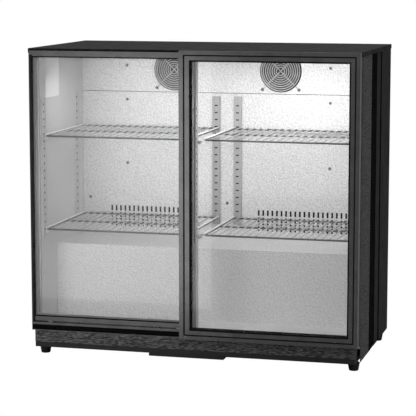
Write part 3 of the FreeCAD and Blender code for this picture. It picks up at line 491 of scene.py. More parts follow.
MATERIALS = {
    "case_black": textured_paint("case_paint", 0.012, 0.040, (1, 1, 1)),
    "case_top": textured_paint("case_paint_top", 0.005, 0.046, (6, 1, 1), 0.05),
    "case_plinth": textured_paint("case_paint_plinth", 0.018, 0.240, (9, 1, 1), 0.3),
    "case_side": side_paint("case_paint_side"),
    "base_black": moulded_plastic("base_paint", 0.010, 0.016, 0.5),
    "trim_dark": satin_trim("trim_satin", 0.17, 0.28, 1.0),
    "galvanised": bright_metal("zinc_sheet", 0.46, 0.54, 0.42, 3.0),
    "embossed_aluminium": stucco_aluminium("stucco_sheet", 0.56, 0.86, 0.45, 0.60),
    "liner_white": coated_sheet("liner_sheet", 0.62, 0.68),
    "aluminium_smooth": brushed_aluminium("standard_aluminium", 0.56, 0.64),
    "stucco_bright": stucco_aluminium("stucco_sheet_bright", 0.70, 0.98, 0.45, 1.10),
    "liner_shaded": stucco_aluminium("stucco_sheet_shaded", 0.10, 0.16, 0.5, 0.6),
    "wire_chrome": bright_metal("wire_plating", 0.56, 0.64, 0.28),
    # painted shade: the shelves' frame wire and middle bar are darkened for the shade along them
    "wire_frame_shaded": bright_metal("wire_frame_painted_shade", 0.12, 0.18, 0.35),
    # painted highlight: near-white paint on the shelves' side bars
    "side_wire_highlit": coated_sheet("side_bar_painted_highlight", 0.88, 0.94, 0.3),
    "guard_grey": moulded_plastic("guard_coating", 0.46, 0.54, 0.4),
    "screw_dull": tinted("screw_heads", grey(0.16), grey(0.22), 3.0, 0.5, 0.3, 0.01),
    "fan_grey": moulded_plastic("fan_moulding", 0.05, 0.07, 0.6),
    "steel": bright_metal("satin_steel", 0.50, 0.60, 0.30),
    "zinc_clip": tinted("bright_zinc", grey(0.70), grey(0.78), 8.0, 0.38, 0.2, 0.02),
    "glass_clear": pane_glass("door_glass"),
    "spacer_bar": coated_sheet("glazing_spacer", 0.52, 0.58, 0.5),
    "spacer_dark": moulded_plastic("glazing_spacer_dark", 0.008, 0.012, 0.75),
    "gasket_rubber": black_rubber_and_shade("black_rubber_and_shade", 0.004, 0.009),
    "plastic_black": moulded_plastic("black_plastic", 0.012, 0.022),
    "plastic_white": moulded_plastic("white_plastic", 0.70, 0.78, 0.35),
    "foam": tinted("pale_foam", (0.72, 0.64, 0.42), (0.82, 0.74, 0.52), 9.0, 0.85, 0.0, 1.0),
    "copper": tinted("copper_tube", (0.62, 0.28, 0.16), (0.80, 0.42, 0.28), 12.0, 0.25, 1.0, 0.02),
    "fin_aluminium": fin_block("fins"),
    "compressor_black": moulded_plastic("compressor_enamel", 0.008, 0.014, 0.22),
    "label_paper": coated_sheet("label_film", 0.92, 0.96, 0.6),
}
OWN_FINISH = {
    "top_panel": "case_top",
    "plinth": "case_plinth",
    "jambs": "case_black",
    "liner_back": "liner_shaded",
    "step_front": "stucco_bright",
    "side_panel_left": "case_side",
    "side_panel_right": "case_side",
    "front_door_spacer": "spacer_dark",
}
SOFTENED = {        # bevel width in mm of the CAD nodes with visible folded or extruded edges
    "top_panel": 0.8, "side_panel_left": 0.4, "side_panel_right": 0.4, "plinth": 0.6, "base_tray": 0.8,
    "header_track": 0.5, "sill_track": 0.5, "jambs": 0.5, "front_door_frame": 0.45, "rear_door_frame": 0.4,
    "centre_post": 0.5, "shelf_clips": 0.5, "control_plate": 0.5, "power_switch": 0.8, "rear_panel": 0.4,
    "condensate_tray": 0.8, "front_door_gasket": 0.6, "cable_gland": 0.4, "wall_label": 0.15,
}


def dress_cad_nodes():
    """Every CAD node takes the material of its slot, or the finish OWN_FINISH gives it, and visible folded
    edges are softened.
    """
    for entry in frame["record"]["subparts"]:
        name = entry["node"]
        node = NODES[name]
        node.data.materials.clear()
        node.data.materials.append(MATERIALS[OWN_FINISH.get(name, entry["material_slot"])])
    for name, width in SOFTENED.items():
        bevel = NODES[name].modifiers.new("softened", "BEVEL")
        bevel.width = width * MM
        bevel.segments = 2
        bevel.limit_method = "ANGLE"
        bevel.angle_limit = math.radians(40)


# ---------------------------------------------------------------- mesh helpers
def circle_point(centre, side, up, radius, angle):
    return centre + (side * math.cos(angle) + up * math.sin(angle)) * radius


def bridge(bm, first, second):
    count = len(first)
    for i in range(count):
        j = (i + 1) % count
        bm.faces.new((first[i], first[j], second[j], second[i]))


def sweep(bm, path, radius, sides=10, closed=False):
    """Round wire along a path; open ends are domed."""
    points = [Vector(p) for p in path]
    radii = [radius] * len(points)
    if not closed:
        start = (points[0] - points[1]).normalized()
        end = (points[-1] - points[-2]).normalized()
        dome = [(0.55, 0.83), (0.92, 0.40)]          # how far out, and how wide, in radii
        points = [points[0] + start * radius * out for out, _ in reversed(dome)] + points
        points += [points[-1] + end * radius * out for out, _ in dome]
        widths = [wide * radius for _, wide in dome]
        radii = widths[::-1] + radii + widths
    count = len(points)
    rings = []
    side = None
    for i in range(count):
        before = points[i - 1] if closed or i else points[i]
        after = points[(i + 1) % count] if closed or i < count - 1 else points[i]
        along = (after - before).normalized()
        side = along.orthogonal() if side is None else side - along * side.dot(along)
        side.normalize()
        up = along.cross(side)
        rings.append([bm.verts.new(circle_point(points[i], side, up, radii[i], math.tau * k / sides))
                      for k in range(sides)])
    for i in range(count - 1):
        bridge(bm, rings[i], rings[i + 1])
    if closed:
        bridge(bm, rings[-1], rings[0])
    else:
        bm.faces.new(rings[0][::-1])
        bm.faces.new(rings[-1])


def rounded_path(points, radius, closed=False, steps=5):
    """Straight runs joined by arcs of about this radius."""
    points = [Vector(p) for p in points]
    count = len(points)
    path = []
    for i, point in enumerate(points):
        if not closed and i in (0, count - 1):
            path.append(point)
            continue
        before = points[i - 1]
        after = points[(i + 1) % count]
        a = point + (before - point).normalized() * radius
        b = point + (after - point).normalized() * radius
        for k in range(steps + 1):
            t = k / steps
            path.append(a * (1 - t) ** 2 + point * 2 * t * (1 - t) + b * t ** 2)
    return path


def circle_path(centre, radius, normal_axis, steps=48):
    side, up = [Vector([1.0 if i == a else 0.0 for i in range(3)]) for a in range(3) if a != normal_axis]
    return [circle_point(Vector(centre), side, up, radius, math.tau * k / steps) for k in range(steps)]


def lathe(bm, centre, axis, profile, steps=40, ripple=None):
    """Turned solid: profile is a list of (radius, place along the axis); ripple(radius, height, angle)
    may change the radius round the turn."""
    centre = Vector(centre)
    along = Vector([1.0 if i == axis else 0.0 for i in range(3)])
    side, up = [Vector([1.0 if i == a else 0.0 for i in range(3)]) for a in range(3) if a != axis]
    rings = []
    for radius, height in profile:
        ring = []
        for k in range(steps):
            angle = math.tau * k / steps
            reach = ripple(radius, height, angle) if ripple else radius
            ring.append(bm.verts.new(circle_point(centre + along * height, side, up, reach, angle)))
        rings.append(ring)
    for first, second in zip(rings, rings[1:]):
        bridge(bm, first, second)
    bm.faces.new(rings[0][::-1])
    bm.faces.new(rings[-1])


def block(bm, low, high, chamfer):
    """Block with chamfered edges all round."""
    low, high = Vector(low), Vector(high)
    matrix = Matrix.Translation((low + high) / 2) @ Matrix.Diagonal(high - low).to_4x4()
    made = bmesh.ops.create_cube(bm, size=1.0, matrix=matrix)
    edges = list({edge for vert in made["verts"] for edge in vert.link_edges})
    bmesh.ops.bevel(bm, geom=edges, offset=chamfer, segments=2, profile=0.5, affect="EDGES",
                    clamp_overlap=True)


def block_between(bm, one, other, chamfer):
    """Block between any two opposite corners."""
    low = [min(pair) for pair in zip(one, other)]
    high = [max(pair) for pair in zip(one, other)]
    block(bm, low, high, chamfer)


def finish_piece(name, bm, body, slot, replaces=(), material=None, sharp_degrees=35):
    """Mesh to object: shaded, painted, riding its body and standing for its CAD nodes."""
    bmesh.ops.recalc_face_normals(bm, faces=bm.faces)
    mesh = bpy.data.meshes.new(name)
    bm.to_mesh(mesh)
    bm.free()
    for face in mesh.polygons:
        face.use_smooth = True
    mesh.set_sharp_from_angle(angle=math.radians(sharp_degrees))
    mesh.materials.append(MATERIALS[material or slot])
    piece = bpy.data.objects.new(name, mesh)
    SCENE.collection.objects.link(piece)
    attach(piece, body)
    if replaces:
        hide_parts(*replaces)
    return piece


# ---------------------------------------------------------------- wire shelves
LONG_WIRE_R = 1.75 * MM
SIDE_WIRE_R = 2.3 * MM
FRAME_WIRE_R = 2.5 * MM
LONG_WIRES = 19
FRAME_INSET_Y = 4.0 * MM
FRAME_CORNER = 12.0 * MM


def wire_shelf(node):
    """Long wires welded on a bent frame wire and a middle bar."""
    low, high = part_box(node)
    top = high[2]
    frame_z = top - 2 * LONG_WIRE_R - FRAME_WIRE_R + 0.2 * MM
    x0, x1 = low[0] + FRAME_WIRE_R, high[0] - FRAME_WIRE_R
    y0, y1 = low[1] + FRAME_INSET_Y, high[1] - FRAME_INSET_Y
    pitch = (x1 - x0) / (LONG_WIRES + 1)
    ends = (low[1] + LONG_WIRE_R, high[1] - LONG_WIRE_R)
    bm = bmesh.new()
    for number in range(1, LONG_WIRES + 1):
        x = x0 + pitch * number
        z = top - LONG_WIRE_R
        sweep(bm, [(x, ends[0], z), (x, ends[1], z)], LONG_WIRE_R, 8)
    finish_piece(node + "_wires", bm, "cabinet", "wire_chrome", [node])
    # side bars, near white as a painted highlight
    bm = bmesh.new()
    for x in (x0, x1):
        z = top - SIDE_WIRE_R
        sweep(bm, [(x, ends[0], z), (x, ends[1], z)], SIDE_WIRE_R, 10)
    finish_piece(node + "_side_bars", bm, "cabinet", "wire_chrome", material="side_wire_highlit")
    # frame wire and middle bar, dark as painted shade
    bm = bmesh.new()
    middle = (y0 + y1) / 2
    corners = [(x1, middle, frame_z), (x1, y1, frame_z), (x0, y1, frame_z), (x0, y0, frame_z),
               (x1, y0, frame_z), (x1, middle, frame_z)]
    sweep(bm, rounded_path(corners, FRAME_CORNER), FRAME_WIRE_R, 12)
    sweep(bm, [(x0, middle, frame_z), (x1, middle, frame_z)], FRAME_WIRE_R, 12)
    finish_piece(node + "_frame", bm, "cabinet", "wire_chrome", material="wire_frame_shaded")


# ---------------------------------------------------------------- slots of the standards
SLOT_TOP = 0.681
SLOT_PITCH = 0.020
SLOT_COUNT = 18
SLOT_HALF = (3.4 * MM, 2.3 * MM)       # wall and post slots: half depth and half height
REAR_SLOT_HALF = (4.1 * MM, 1.7 * MM)
STANDARD_FACES = [(-0.427, -0.169), (-0.427, 0.104), (0.427, -0.169), (0.427, 0.104)]   # x of the face, y
STANDARD_GROOVE = 1.0 * MM
REAR_STANDARD_X = (-0.031, 0.031)
REAR_SLOT_Y = 0.1555
POST_SLOT = (4.5 * MM, -0.189)
RECESS = 0.1 * MM
SLOT_DEPTH = 1.2 * MM
SHADOW_BLOCK_CHAMFER = 0.2 * MM
POST_GROOVE_HALF = 1.4 * MM              # dark block down the groove in the front of the centre post: painted shade
POST_GROOVE_Y = (1.6 * MM, 2.9 * MM)     # from the post's front
POST_GROOVE_Z = (0.323, 0.696)


def side_slot(bm, near, far, y, z):
    """Dark block of painted shade just inside one slot that faces along X."""
    block_between(bm, (near, y - SLOT_HALF[0], z - SLOT_HALF[1]), (far, y + SLOT_HALF[0], z + SLOT_HALF[1]),
                  SHADOW_BLOCK_CHAMFER)


def slot_shadows():
    """Dark blocks set just inside the slots of the standards and the post, and down the post's groove:
    painted shade for the hollows behind them.
    """
    bm = bmesh.new()
    for number in range(SLOT_COUNT):
        z = SLOT_TOP - SLOT_PITCH * number
        for x, y in STANDARD_FACES:
            side = math.copysign(1.0, x)
            near = x + side * (STANDARD_GROOVE + RECESS)
            far = near + side * (SLOT_DEPTH - RECESS)
            side_slot(bm, near, far, y, z)
        for side in (-1, 1):
            near = side * (POST_SLOT[0] - RECESS)
            far = side * (POST_SLOT[0] - SLOT_DEPTH)
            side_slot(bm, near, far, POST_SLOT[1], z)
        for x in REAR_STANDARD_X if number else ():
            low = (x - REAR_SLOT_HALF[0], REAR_SLOT_Y + RECESS, z - REAR_SLOT_HALF[1])
            high = (x + REAR_SLOT_HALF[0], REAR_SLOT_Y + SLOT_DEPTH, z + REAR_SLOT_HALF[1])
            block(bm, low, high, SHADOW_BLOCK_CHAMFER)
    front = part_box("centre_post")[0][1]
    low = (-POST_GROOVE_HALF, front + POST_GROOVE_Y[0], POST_GROOVE_Z[0])
    high = (POST_GROOVE_HALF, front + POST_GROOVE_Y[1], POST_GROOVE_Z[1])
    block(bm, low, high, SHADOW_BLOCK_CHAMFER)
    # the blocks are painted shade, in black
    finish_piece("slot_shadow_blocks", bm, "cabinet", "gasket_rubber")


# ---------------------------------------------------------------- fans
FAN_X = 0.154
FAN_Z = 0.760
WALL_Y = 0.162
RING_COUNT = 8
RING_OUTER = 55.0 * MM
RIM_R = 1.8 * MM          # black seal around the guard
RING_PITCH = 6.2 * MM
RING_WIRE_R = 1.5 * MM
SPOKE_R = 1.5 * MM
EAR = 0.052
EYELET_R = 3.6 * MM
RING_STANDOFF = 6.0 * MM
CABIN_WHEEL = (17 * MM, 49.5 * MM, 7, 2.5 * MM)          # hub and tip radius, blades, shaft radius
CONDENSER_WHEEL = (16 * MM, 74 * MM, 5, 3.0 * MM)


def guard_wires(bm, x):
    """Concentric rings on two crossed wires that end in eyelets."""
    ring_y = WALL_Y - RING_STANDOFF
    spoke_y = ring_y + RING_WIRE_R + SPOKE_R - 0.2 * MM
    for number in range(RING_COUNT):
        radius = RING_OUTER - RING_PITCH * number
        sweep(bm, circle_path((x, ring_y, FAN_Z), radius, 1, 56), RING_WIRE_R, 8, closed=True)
    foot_y = WALL_Y - SPOKE_R
    bend = (RING_OUTER + 4 * MM) / math.sqrt(2)
    for sz in (-1, 1):
        tip = EAR - EYELET_R / math.sqrt(2)
        route = [(x - tip, foot_y, FAN_Z - sz * tip), (x - bend, foot_y, FAN_Z - sz * bend)]
        inner = bend - 5 * MM
        route += [(x - inner, spoke_y, FAN_Z - sz * inner), (x + inner, spoke_y, FAN_Z + sz * inner)]
        route += [(x + bend, foot_y, FAN_Z + sz * bend), (x + tip, foot_y, FAN_Z + sz * tip)]
        sweep(bm, rounded_path(route, 1.2 * MM, steps=3), SPOKE_R, 10)
        for sx in (-1, 1):
            eyelet = circle_path((x + sx * EAR, foot_y, FAN_Z + sz * EAR), EYELET_R, 1, 24)
            sweep(bm, eyelet, SPOKE_R * 0.9, 8, closed=True)


def fan_guards():
    bm = bmesh.new()
    for side in (-1, 1):
        guard_wires(bm, side * FAN_X)
    finish_piece("guard_wires", bm, "cabinet", "wire_chrome", ["fan_guards"], "guard_grey")
    bm = bmesh.new()
    for side in (-1, 1):
        rim = circle_path((side * FAN_X, WALL_Y - RIM_R, FAN_Z), RING_OUTER + 1.4 * RIM_R, 1, 64)
        sweep(bm, rim, RIM_R, 10, closed=True)
    finish_piece("guard_rims", bm, "cabinet", "gasket_rubber")


def curved_blade(bm, centre, angle, radii, chords, pitches, camber, thickness):
    """Twisted, cambered blade about an axis along Y."""
    stations, across = 6, 8
    grids = []
    for face in (-1, 1):
        grid = []
        for i in range(stations):
            t = i / (stations - 1)
            radius = radii[0] + (radii[1] - radii[0]) * t
            half = (chords[0] + (chords[1] - chords[0]) * t) / 2
            pitch = math.radians(pitches[0] + (pitches[1] - pitches[0]) * t)
            row = []
            for k in range(across + 1):
                c = 2.0 * k / across - 1.0
                lift = camber * (1 - c * c) + face * thickness / 2 * (1 - 0.7 * c * c)
                tangent = c * half * math.cos(pitch) - lift * math.sin(pitch)
                depth = c * half * math.sin(pitch) + lift * math.cos(pitch)
                turn = angle + tangent / radius + 0.25 * t
                point = (radius * math.cos(turn), depth, radius * math.sin(turn))
                row.append(bm.verts.new(centre + Vector(point)))
            grid.append(row)
        grids.append(grid)
    back, front = grids
    for grid in grids:
        for i in range(stations - 1):
            for k in range(across):
                bm.faces.new((grid[i][k], grid[i][k + 1], grid[i + 1][k + 1], grid[i + 1][k]))
    for i in range(stations - 1):
        for k in (0, across):
            bm.faces.new((back[i][k], back[i + 1][k], front[i + 1][k], front[i][k]))
    for i in (0, stations - 1):
        for k in range(across):
            bm.faces.new((back[i][k], back[i][k + 1], front[i][k + 1], front[i][k]))


def fan_wheel(node, hub_r, tip_r, blades, shaft_r):
    """Moulded wheel: domed hub, curved blades and shaft stub inside the CAD wheel's outline."""
    low, high = [Vector(corner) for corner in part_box(node)]
    centre = (low + high) / 2
    hub_start, hub_end = FAN_SPANS[node]
    middle = (hub_start + hub_end) / 2
    bm = bmesh.new()
    hub = Vector((centre[0], 0.0, centre[2]))
    rim = 1.5 * MM
    profile = [(hub_r * 0.35, hub_start), (hub_r * 0.75, hub_start + 0.4 * MM),
               (hub_r - rim, hub_start + rim), (hub_r, hub_start + 2.5 * rim), (hub_r, hub_end - rim),
               (hub_r - rim, hub_end)]
    lathe(bm, hub, 1, profile, 40)
    lathe(bm, hub, 1, [(shaft_r, middle), (shaft_r, high[1]) if high[1] > hub_end else (shaft_r, low[1])], 16)
    for number in range(blades):
        curved_blade(bm, Vector((centre[0], middle, centre[2])), math.tau * number / blades,
                     (hub_r - 1 * MM, tip_r), (0.50 * tip_r, 0.62 * tip_r), (40.0, 24.0), 1.4 * MM, 1.4 * MM)
    finish_piece(node + "_moulding", bm, node, "plastic_black", [node], "fan_grey")


FAN_SPANS = {       # front and back of each hub
    "fan_impeller_left": (0.1652, 0.1872),
    "fan_impeller_right": (0.1652, 0.1872),
    "condenser_fan_blade": (0.150, 0.172),
}


# ---------------------------------------------------------------- screws
HEAD_R = 4.4 * MM
HEAD_HEIGHT = 1.9 * MM
CROSS = (0.75 * MM, 2.6 * MM)      # half width and reach of the cross recess
CROSS_DEPTH = 1.3 * MM
CENTRE_SCREW_Z = 0.383
PANEL_SCREWS = [(0.295, 0.770), (0.295, 0.673), (0.295, 0.490), (0.408, 0.388)]


def screw_head(bm, x, y, z):
    """Pan head with a cross recess, facing -Y."""
    rings, steps = 9, 48
    circles = []
    for i in range(rings + 1):
        radius = HEAD_R * (i + 0.3) / (rings + 0.3)
        ring = []
        for k in range(steps):
            angle = math.tau * k / steps
            dx, dz = radius * math.cos(angle), radius * math.sin(angle)
            height = HEAD_HEIGHT * math.sqrt(max(0.0, 1 - (radius / HEAD_R) ** 3.5))
            across = min(abs(dx), abs(dz)) < CROSS[0] and max(abs(dx), abs(dz)) < CROSS[1]
            if across:
                height -= CROSS_DEPTH
            ring.append(bm.verts.new((x + dx, y - height, z + dz)))
        circles.append(ring)
    for first, second in zip(circles, circles[1:]):
        bridge(bm, first, second)
    bm.faces.new(circles[0])
    bm.faces.new(circles[-1])


def panel_screws():
    bm = bmesh.new()
    for x, z in PANEL_SCREWS:
        for side in (-1, 1):
            screw_head(bm, side * x, WALL_Y, z)
    screw_head(bm, 0.0, WALL_Y, CENTRE_SCREW_Z)
    finish_piece("panel_screw_heads", bm, "cabinet", "steel", ["panel_screws"], "screw_dull")
    bm = bmesh.new()
    for side in (-1, 1):
        for sx in (-1, 1):
            for sz in (-1, 1):
                screw_head(bm, side * FAN_X + sx * EAR, WALL_Y - 2 * SPOKE_R, FAN_Z + sz * EAR)
    finish_piece("guard_screw_heads", bm, "cabinet", "steel", material="screw_dull")


# ---------------------------------------------------------------- seals of the doors
def ring_strip(name, body, x, z, y, widths):
    """Rectangular seal: widths are those of its left bar and of its other three."""
    left, other = widths
    outer = [(x[0], z[0]), (x[1], z[0]), (x[1], z[1]), (x[0], z[1])]
    inner = [(x[0] + left, z[0] + other), (x[1] - other, z[0] + other), (x[1] - other, z[1] - other),
             (x[0] + left, z[1] - other)]
    crown = [((a[0] + b[0]) / 2, (a[1] + b[1]) / 2) for a, b in zip(outer, inner)]
    lift = 0.3 * MM
    bm = bmesh.new()
    loops = []
    sections = [(outer, y[1]), (outer, y[0] + lift), (crown, y[0]), (inner, y[0] + lift), (inner, y[1])]
    for outline, depth in sections:
        loops.append([bm.verts.new((px, depth, pz)) for px, pz in outline])
    for first, second in zip(loops, loops[1:] + loops[:1]):
        bridge(bm, first, second)
    finish_piece(name, bm, body, "gasket_rubber")


GRIP_STRETCH = 28.0 / 24.0
SLIM_STRETCH = 0.38
GROOVE = (10.0 * MM, 13.5 * MM)      # front door frame, from the door's edge
GROOVE_Y = (1.3 * MM, 2.95 * MM)
REAR_INNER = 12.0 * MM               # rear door frame's inner edge
REAR_SEAL = 3.2 * MM
REAR_SEAL_Y = (0.5 * MM, 1.9 * MM)
SEAL_PLAY = 0.1 * MM
BRUSH_X = (11.5 * MM, 0.2 * MM)      # brush pile, from the rear door's right edge
BRUSH_PROUD = 3.5 * MM
BRUSH_END = 2 * MM
STRIP_Y = (-0.2142, -0.2131)         # black strip in the sill's recess: painted shade
STRIP_Z = (2.1 * MM, 15.8 * MM)
STRIP_END = 1 * MM
JAMB_LINING_X = (0.4302, 0.4415)     # pale strip on the jamb behind the rear door
JAMB_LINING_Y = (-0.1998, -0.1991)
JAMB_LINING_Z = (0.098, 0.816)


def door_seals():
    """Black fillets in the frames' grooves and round the panes, and the brush between the doors."""
    low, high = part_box("front_door_frame")
    start = GROOVE[0] + SEAL_PLAY
    width = GROOVE[1] - GROOVE[0] - 2 * SEAL_PLAY
    x = (low[0] + start * GRIP_STRETCH, high[0] - start)
    z = (low[2] + start, high[2] - start)
    y = (low[1] + GROOVE_Y[0], low[1] + GROOVE_Y[1])
    ring_strip("front_door_fillet", "front_door", x, z, y, (width * GRIP_STRETCH, width))
    low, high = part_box("rear_door_frame")
    x = (low[0] + REAR_INNER * SLIM_STRETCH + SEAL_PLAY, high[0] - REAR_INNER - SEAL_PLAY)
    z = (low[2] + REAR_INNER + SEAL_PLAY, high[2] - REAR_INNER - SEAL_PLAY)
    y = (low[1] + REAR_SEAL_Y[0], low[1] + REAR_SEAL_Y[1])
    ring_strip("rear_door_fillet", "rear_door", x, z, y, (REAR_SEAL * SLIM_STRETCH, REAR_SEAL))
    bm = bmesh.new()
    block(bm, (high[0] - BRUSH_X[0], low[1] - BRUSH_PROUD, low[2] + BRUSH_END),
          (high[0] - BRUSH_X[1], low[1], high[2] - BRUSH_END), 1.0 * MM)
    finish_piece("meeting_brush", bm, "rear_door", "gasket_rubber")
    low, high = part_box("sill_track")
    # black strip standing for the shade in the sill's recess
    bm = bmesh.new()
    block(bm, (low[0] + STRIP_END, STRIP_Y[0], low[2] + STRIP_Z[0]),
          (high[0] - STRIP_END, STRIP_Y[1], low[2] + STRIP_Z[1]), 0.3 * MM)
    finish_piece("sill_recess_shadow_strip", bm, "cabinet", "gasket_rubber")
    bm = bmesh.new()
    for side in (-1, 1):
        one, other = [(side * JAMB_LINING_X[end], JAMB_LINING_Y[end], JAMB_LINING_Z[end]) for end in (0, 1)]
        block_between(bm, one, other, 0.2 * MM)
    finish_piece("jamb_linings", bm, "cabinet", "aluminium_smooth", material="liner_white")


# ---------------------------------------------------------------- shelf clips and the baffle
CLIP_SHEET = 1.4 * MM
CLIP_REACH = 11.0 * MM
CLIP_DROP = 9.0 * MM
CLIP_HEIGHTS = (0.5937, 0.3397)      # seat of each clip, under the shelf's frame wire
POST_CLIP_Y = -0.173
BACK_CLIP = (0.029, 0.1535)          # x and y of the clips on the back wall's standards
BAFFLE_HALF = 0.372
BAFFLE_Z = (0.294, 0.374)
BAFFLE_Y = 0.1700
BAFFLE_SWELL = 0.010
BAFFLE_SHEET = 1.5 * MM


def gusset(bm, corner, out, across):
    """Quarter-round bracket with a seat on top; out and across are unit vectors."""
    steps = 7
    corner, out, across = Vector(corner), Vector(out), Vector(across)
    down = Vector((0.0, 0.0, -1.0))
    outline = [corner]
    for k in range(steps + 1):
        angle = math.pi / 2 * k / steps
        bend = out * CLIP_REACH * math.cos(angle) + down * CLIP_DROP * math.sin(angle)
        outline.append(corner + bend)
    shells = [[bm.verts.new(p + across * shift) for p in outline] for shift in (-CLIP_SHEET, CLIP_SHEET)]
    bm.faces.new(shells[0])
    bm.faces.new(shells[1][::-1])
    bridge(bm, shells[0], shells[1])
    ledge = [corner + out * 0.5 * MM, corner + out * CLIP_REACH]
    reach = across * 4.5 * MM
    points = [ledge[0] - reach, ledge[1] + reach, ledge[0] + reach, ledge[1] - reach]
    low = [min(p[i] for p in points) for i in range(3)]
    high = [max(p[i] for p in points) for i in range(3)]
    low[2] -= CLIP_SHEET
    block(bm, low, high, 0.4 * MM)


def shelf_clips():
    """A bracket at each corner of each shelf, hooked into the standards."""
    bm = bmesh.new()
    for seat in CLIP_HEIGHTS:
        for side in (-1, 1):
            for x, y in STANDARD_FACES[:2]:
                gusset(bm, (side * abs(x), y, seat), (-side, 0, 0), (0, 1, 0))
            gusset(bm, (side * POST_SLOT[0], POST_CLIP_Y, seat), (side, 0, 0), (0, 1, 0))
            gusset(bm, (side * BACK_CLIP[0], BACK_CLIP[1], seat), (0, -1, 0), (1, 0, 0))
    finish_piece("shelf_brackets", bm, "cabinet", "steel", ["shelf_clips"], "zinc_clip")


def vent_baffle():
    """Curved deflector behind the rows of vent holes, black as painted shade so the holes read dark."""
    bm = bmesh.new()
    steps = 10
    z0, z1 = BAFFLE_Z
    shells = []
    for shift in (0.0, BAFFLE_SHEET):
        rows = []
        for k in range(steps + 1):
            t = k / steps
            y = BAFFLE_Y + BAFFLE_SWELL * math.sin(math.pi * t) + shift
            z = z0 + (z1 - z0) * t
            rows.append([bm.verts.new((x, y, z)) for x in (-BAFFLE_HALF, BAFFLE_HALF)])
        shells.append(rows)
    for rows in shells:
        for k in range(steps):
            bm.faces.new((rows[k][0], rows[k][1], rows[k + 1][1], rows[k + 1][0]))
    front, back = shells
    for k in range(steps):
        for end in (0, 1):
            bm.faces.new((front[k][end], front[k + 1][end], back[k + 1][end], back[k][end]))
    for k in (0, steps):
        bm.faces.new((front[k][0], front[k][1], back[k][1], back[k][0]))
    finish_piece("vent_baffle", bm, "cabinet", "gasket_rubber")


# ---------------------------------------------------------------- feet, knob and louvres
FOOT_FLUTES = 18


def levelling_foot(node):
    """Tapered pad with grip flutes, collar and stem."""
    low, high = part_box(node)
    centre = ((low[0] + high[0]) / 2, (low[1] + high[1]) / 2, 0.0)
    pad = [(10.6, 0.0), (11.9, 0.5), (12.7, 2.0), (13.2, 4.5), (15.2, 16.5), (15.9, 19.0), (15.8, 21.0),
           (14.6, 22.0)]
    collar = [(9.6, 22.2), (9.0, 22.8), (9.0, 24.6), (8.4, 25.0)]
    stem = [(5.0, 25.0), (5.0, 39.4), (4.4, 39.8)]

    def flutes(radius, height, angle):
        gripped = 4 * MM < height < 20 * MM
        return radius - (0.35 * MM * (1 + math.cos(FOOT_FLUTES * angle)) if gripped else 0.0)

    bm = bmesh.new()
    lathe(bm, centre, 2, [(r * MM, z * MM) for r, z in pad + collar + stem], 144, flutes)
    finish_piece(node + "_moulding", bm, node, "base_black", [node])


KNOB_FLUTES = 20


def knob():
    """Fluted dial on a skirt, with a grip ridge across its face."""
    low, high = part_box("thermostat_knob")
    x, z = (low[0] + high[0]) / 2, (low[2] + high[2]) / 2
    front = high[1] - 1.0 * MM
    base = front - 10.4 * MM
    profile = [(3.0, low[1] - base), (3.0, 0.5 * MM), (14.2, 0.6 * MM), (15.0, 1.0 * MM), (15.0, 2.4 * MM),
               (12.8, 3.2 * MM), (12.4, 8.4 * MM), (11.6, 9.8 * MM), (9.0, 10.3 * MM)]

    def flutes(radius, height, angle):
        gripped = 3 * MM < height < 9 * MM
        return radius - (0.5 * MM * (1 + math.cos(KNOB_FLUTES * angle)) if gripped else 0.0)

    bm = bmesh.new()
    lathe(bm, (x, base, z), 1, [(r * MM, h) for r, h in profile], 120, flutes)
    block(bm, (x - 1.6 * MM, front - 1.5 * MM, z - 2 * MM), (x + 1.6 * MM, high[1], z + 12 * MM), 0.7 * MM)
    finish_piece("thermostat_dial", bm, "thermostat_knob", "plastic_black", ["thermostat_knob"])


LOUVRE_PITCH_X = 78.0 * MM
LOUVRE_HALF = 31.0 * MM
LOUVRE_Z = 66.0 * MM
LOUVRE_PITCH_Z = 12.0 * MM
LOUVRE_HEIGHT = 6.5 * MM
LOUVRE_DEPTH = 3.0 * MM
LOUVRE_SHEET = 0.7 * MM
LOUVRE_COLUMNS = range(-4, 5)
LOUVRE_ROWS = 9
CONTROL_KEEP = ((0.290, 0.410), (0.180, 0.262))


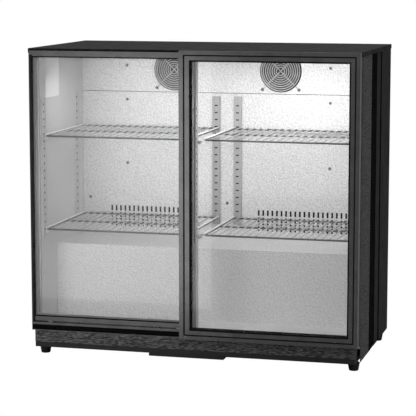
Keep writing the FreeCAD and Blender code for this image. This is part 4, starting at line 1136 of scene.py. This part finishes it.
def louvres():
    """Pressed hoods over the slots of the rear grille, open downwards."""
    bm = bmesh.new()
    steps, lengths = 6, 10
    back = CAD_HIGH[1]
    for column in LOUVRE_COLUMNS:
        for row in range(LOUVRE_ROWS):
            x0 = LOUVRE_PITCH_X * column
            z0 = LOUVRE_Z + LOUVRE_PITCH_Z * row - 0.5 * MM
            hidden = CONTROL_KEEP[0][0] < x0 + LOUVRE_HALF and x0 - LOUVRE_HALF < CONTROL_KEEP[0][1] \
                and CONTROL_KEEP[1][0] < z0 + LOUVRE_HEIGHT and z0 < CONTROL_KEEP[1][1]
            if hidden:
                continue
            grid = []
            for shell in (0.0, LOUVRE_SHEET):
                rows = []
                for i in range(lengths + 1):
                    t = 2.0 * i / lengths - 1.0
                    swell = (1 - t ** 6)
                    line = []
                    for k in range(steps + 1):
                        angle = math.pi / 2 * k / steps
                        out = LOUVRE_DEPTH * math.cos(angle) * swell + shell
                        rise = LOUVRE_HEIGHT * math.sin(angle) + shell * math.sin(angle)
                        line.append(bm.verts.new((x0 + t * LOUVRE_HALF, back - 0.8 * MM + out, z0 + rise)))
                    rows.append(line)
                grid.append(rows)
            inner, outer = grid
            for rows in grid:
                for i in range(lengths):
                    for k in range(steps):
                        bm.faces.new((rows[i][k], rows[i + 1][k], rows[i + 1][k + 1], rows[i][k + 1]))
            for i in range(lengths):
                for k in (0, steps):
                    bm.faces.new((inner[i][k], inner[i + 1][k], outer[i + 1][k], outer[i][k]))
            for i in (0, lengths):
                for k in range(steps):
                    bm.faces.new((inner[i][k], inner[i][k + 1], outer[i][k + 1], outer[i][k]))
    finish_piece("grille_louvres", bm, "cabinet", "base_black")


# ---------------------------------------------------------------- build the scene
make_camera()
make_floor()
make_studio()
dress_cad_nodes()
for level in ("upper", "lower"):
    for side in ("left", "right"):
        wire_shelf("shelf_" + level + "_" + side)
slot_shadows()
fan_guards()
fan_wheel("fan_impeller_left", *CABIN_WHEEL)
fan_wheel("fan_impeller_right", *CABIN_WHEEL)
fan_wheel("condenser_fan_blade", *CONDENSER_WHEEL)
panel_screws()
door_seals()
shelf_clips()
vent_baffle()
for end in ("front", "rear"):
    for side in ("left", "right"):
        levelling_foot("foot_" + end + "_" + side)
knob()
louvres()
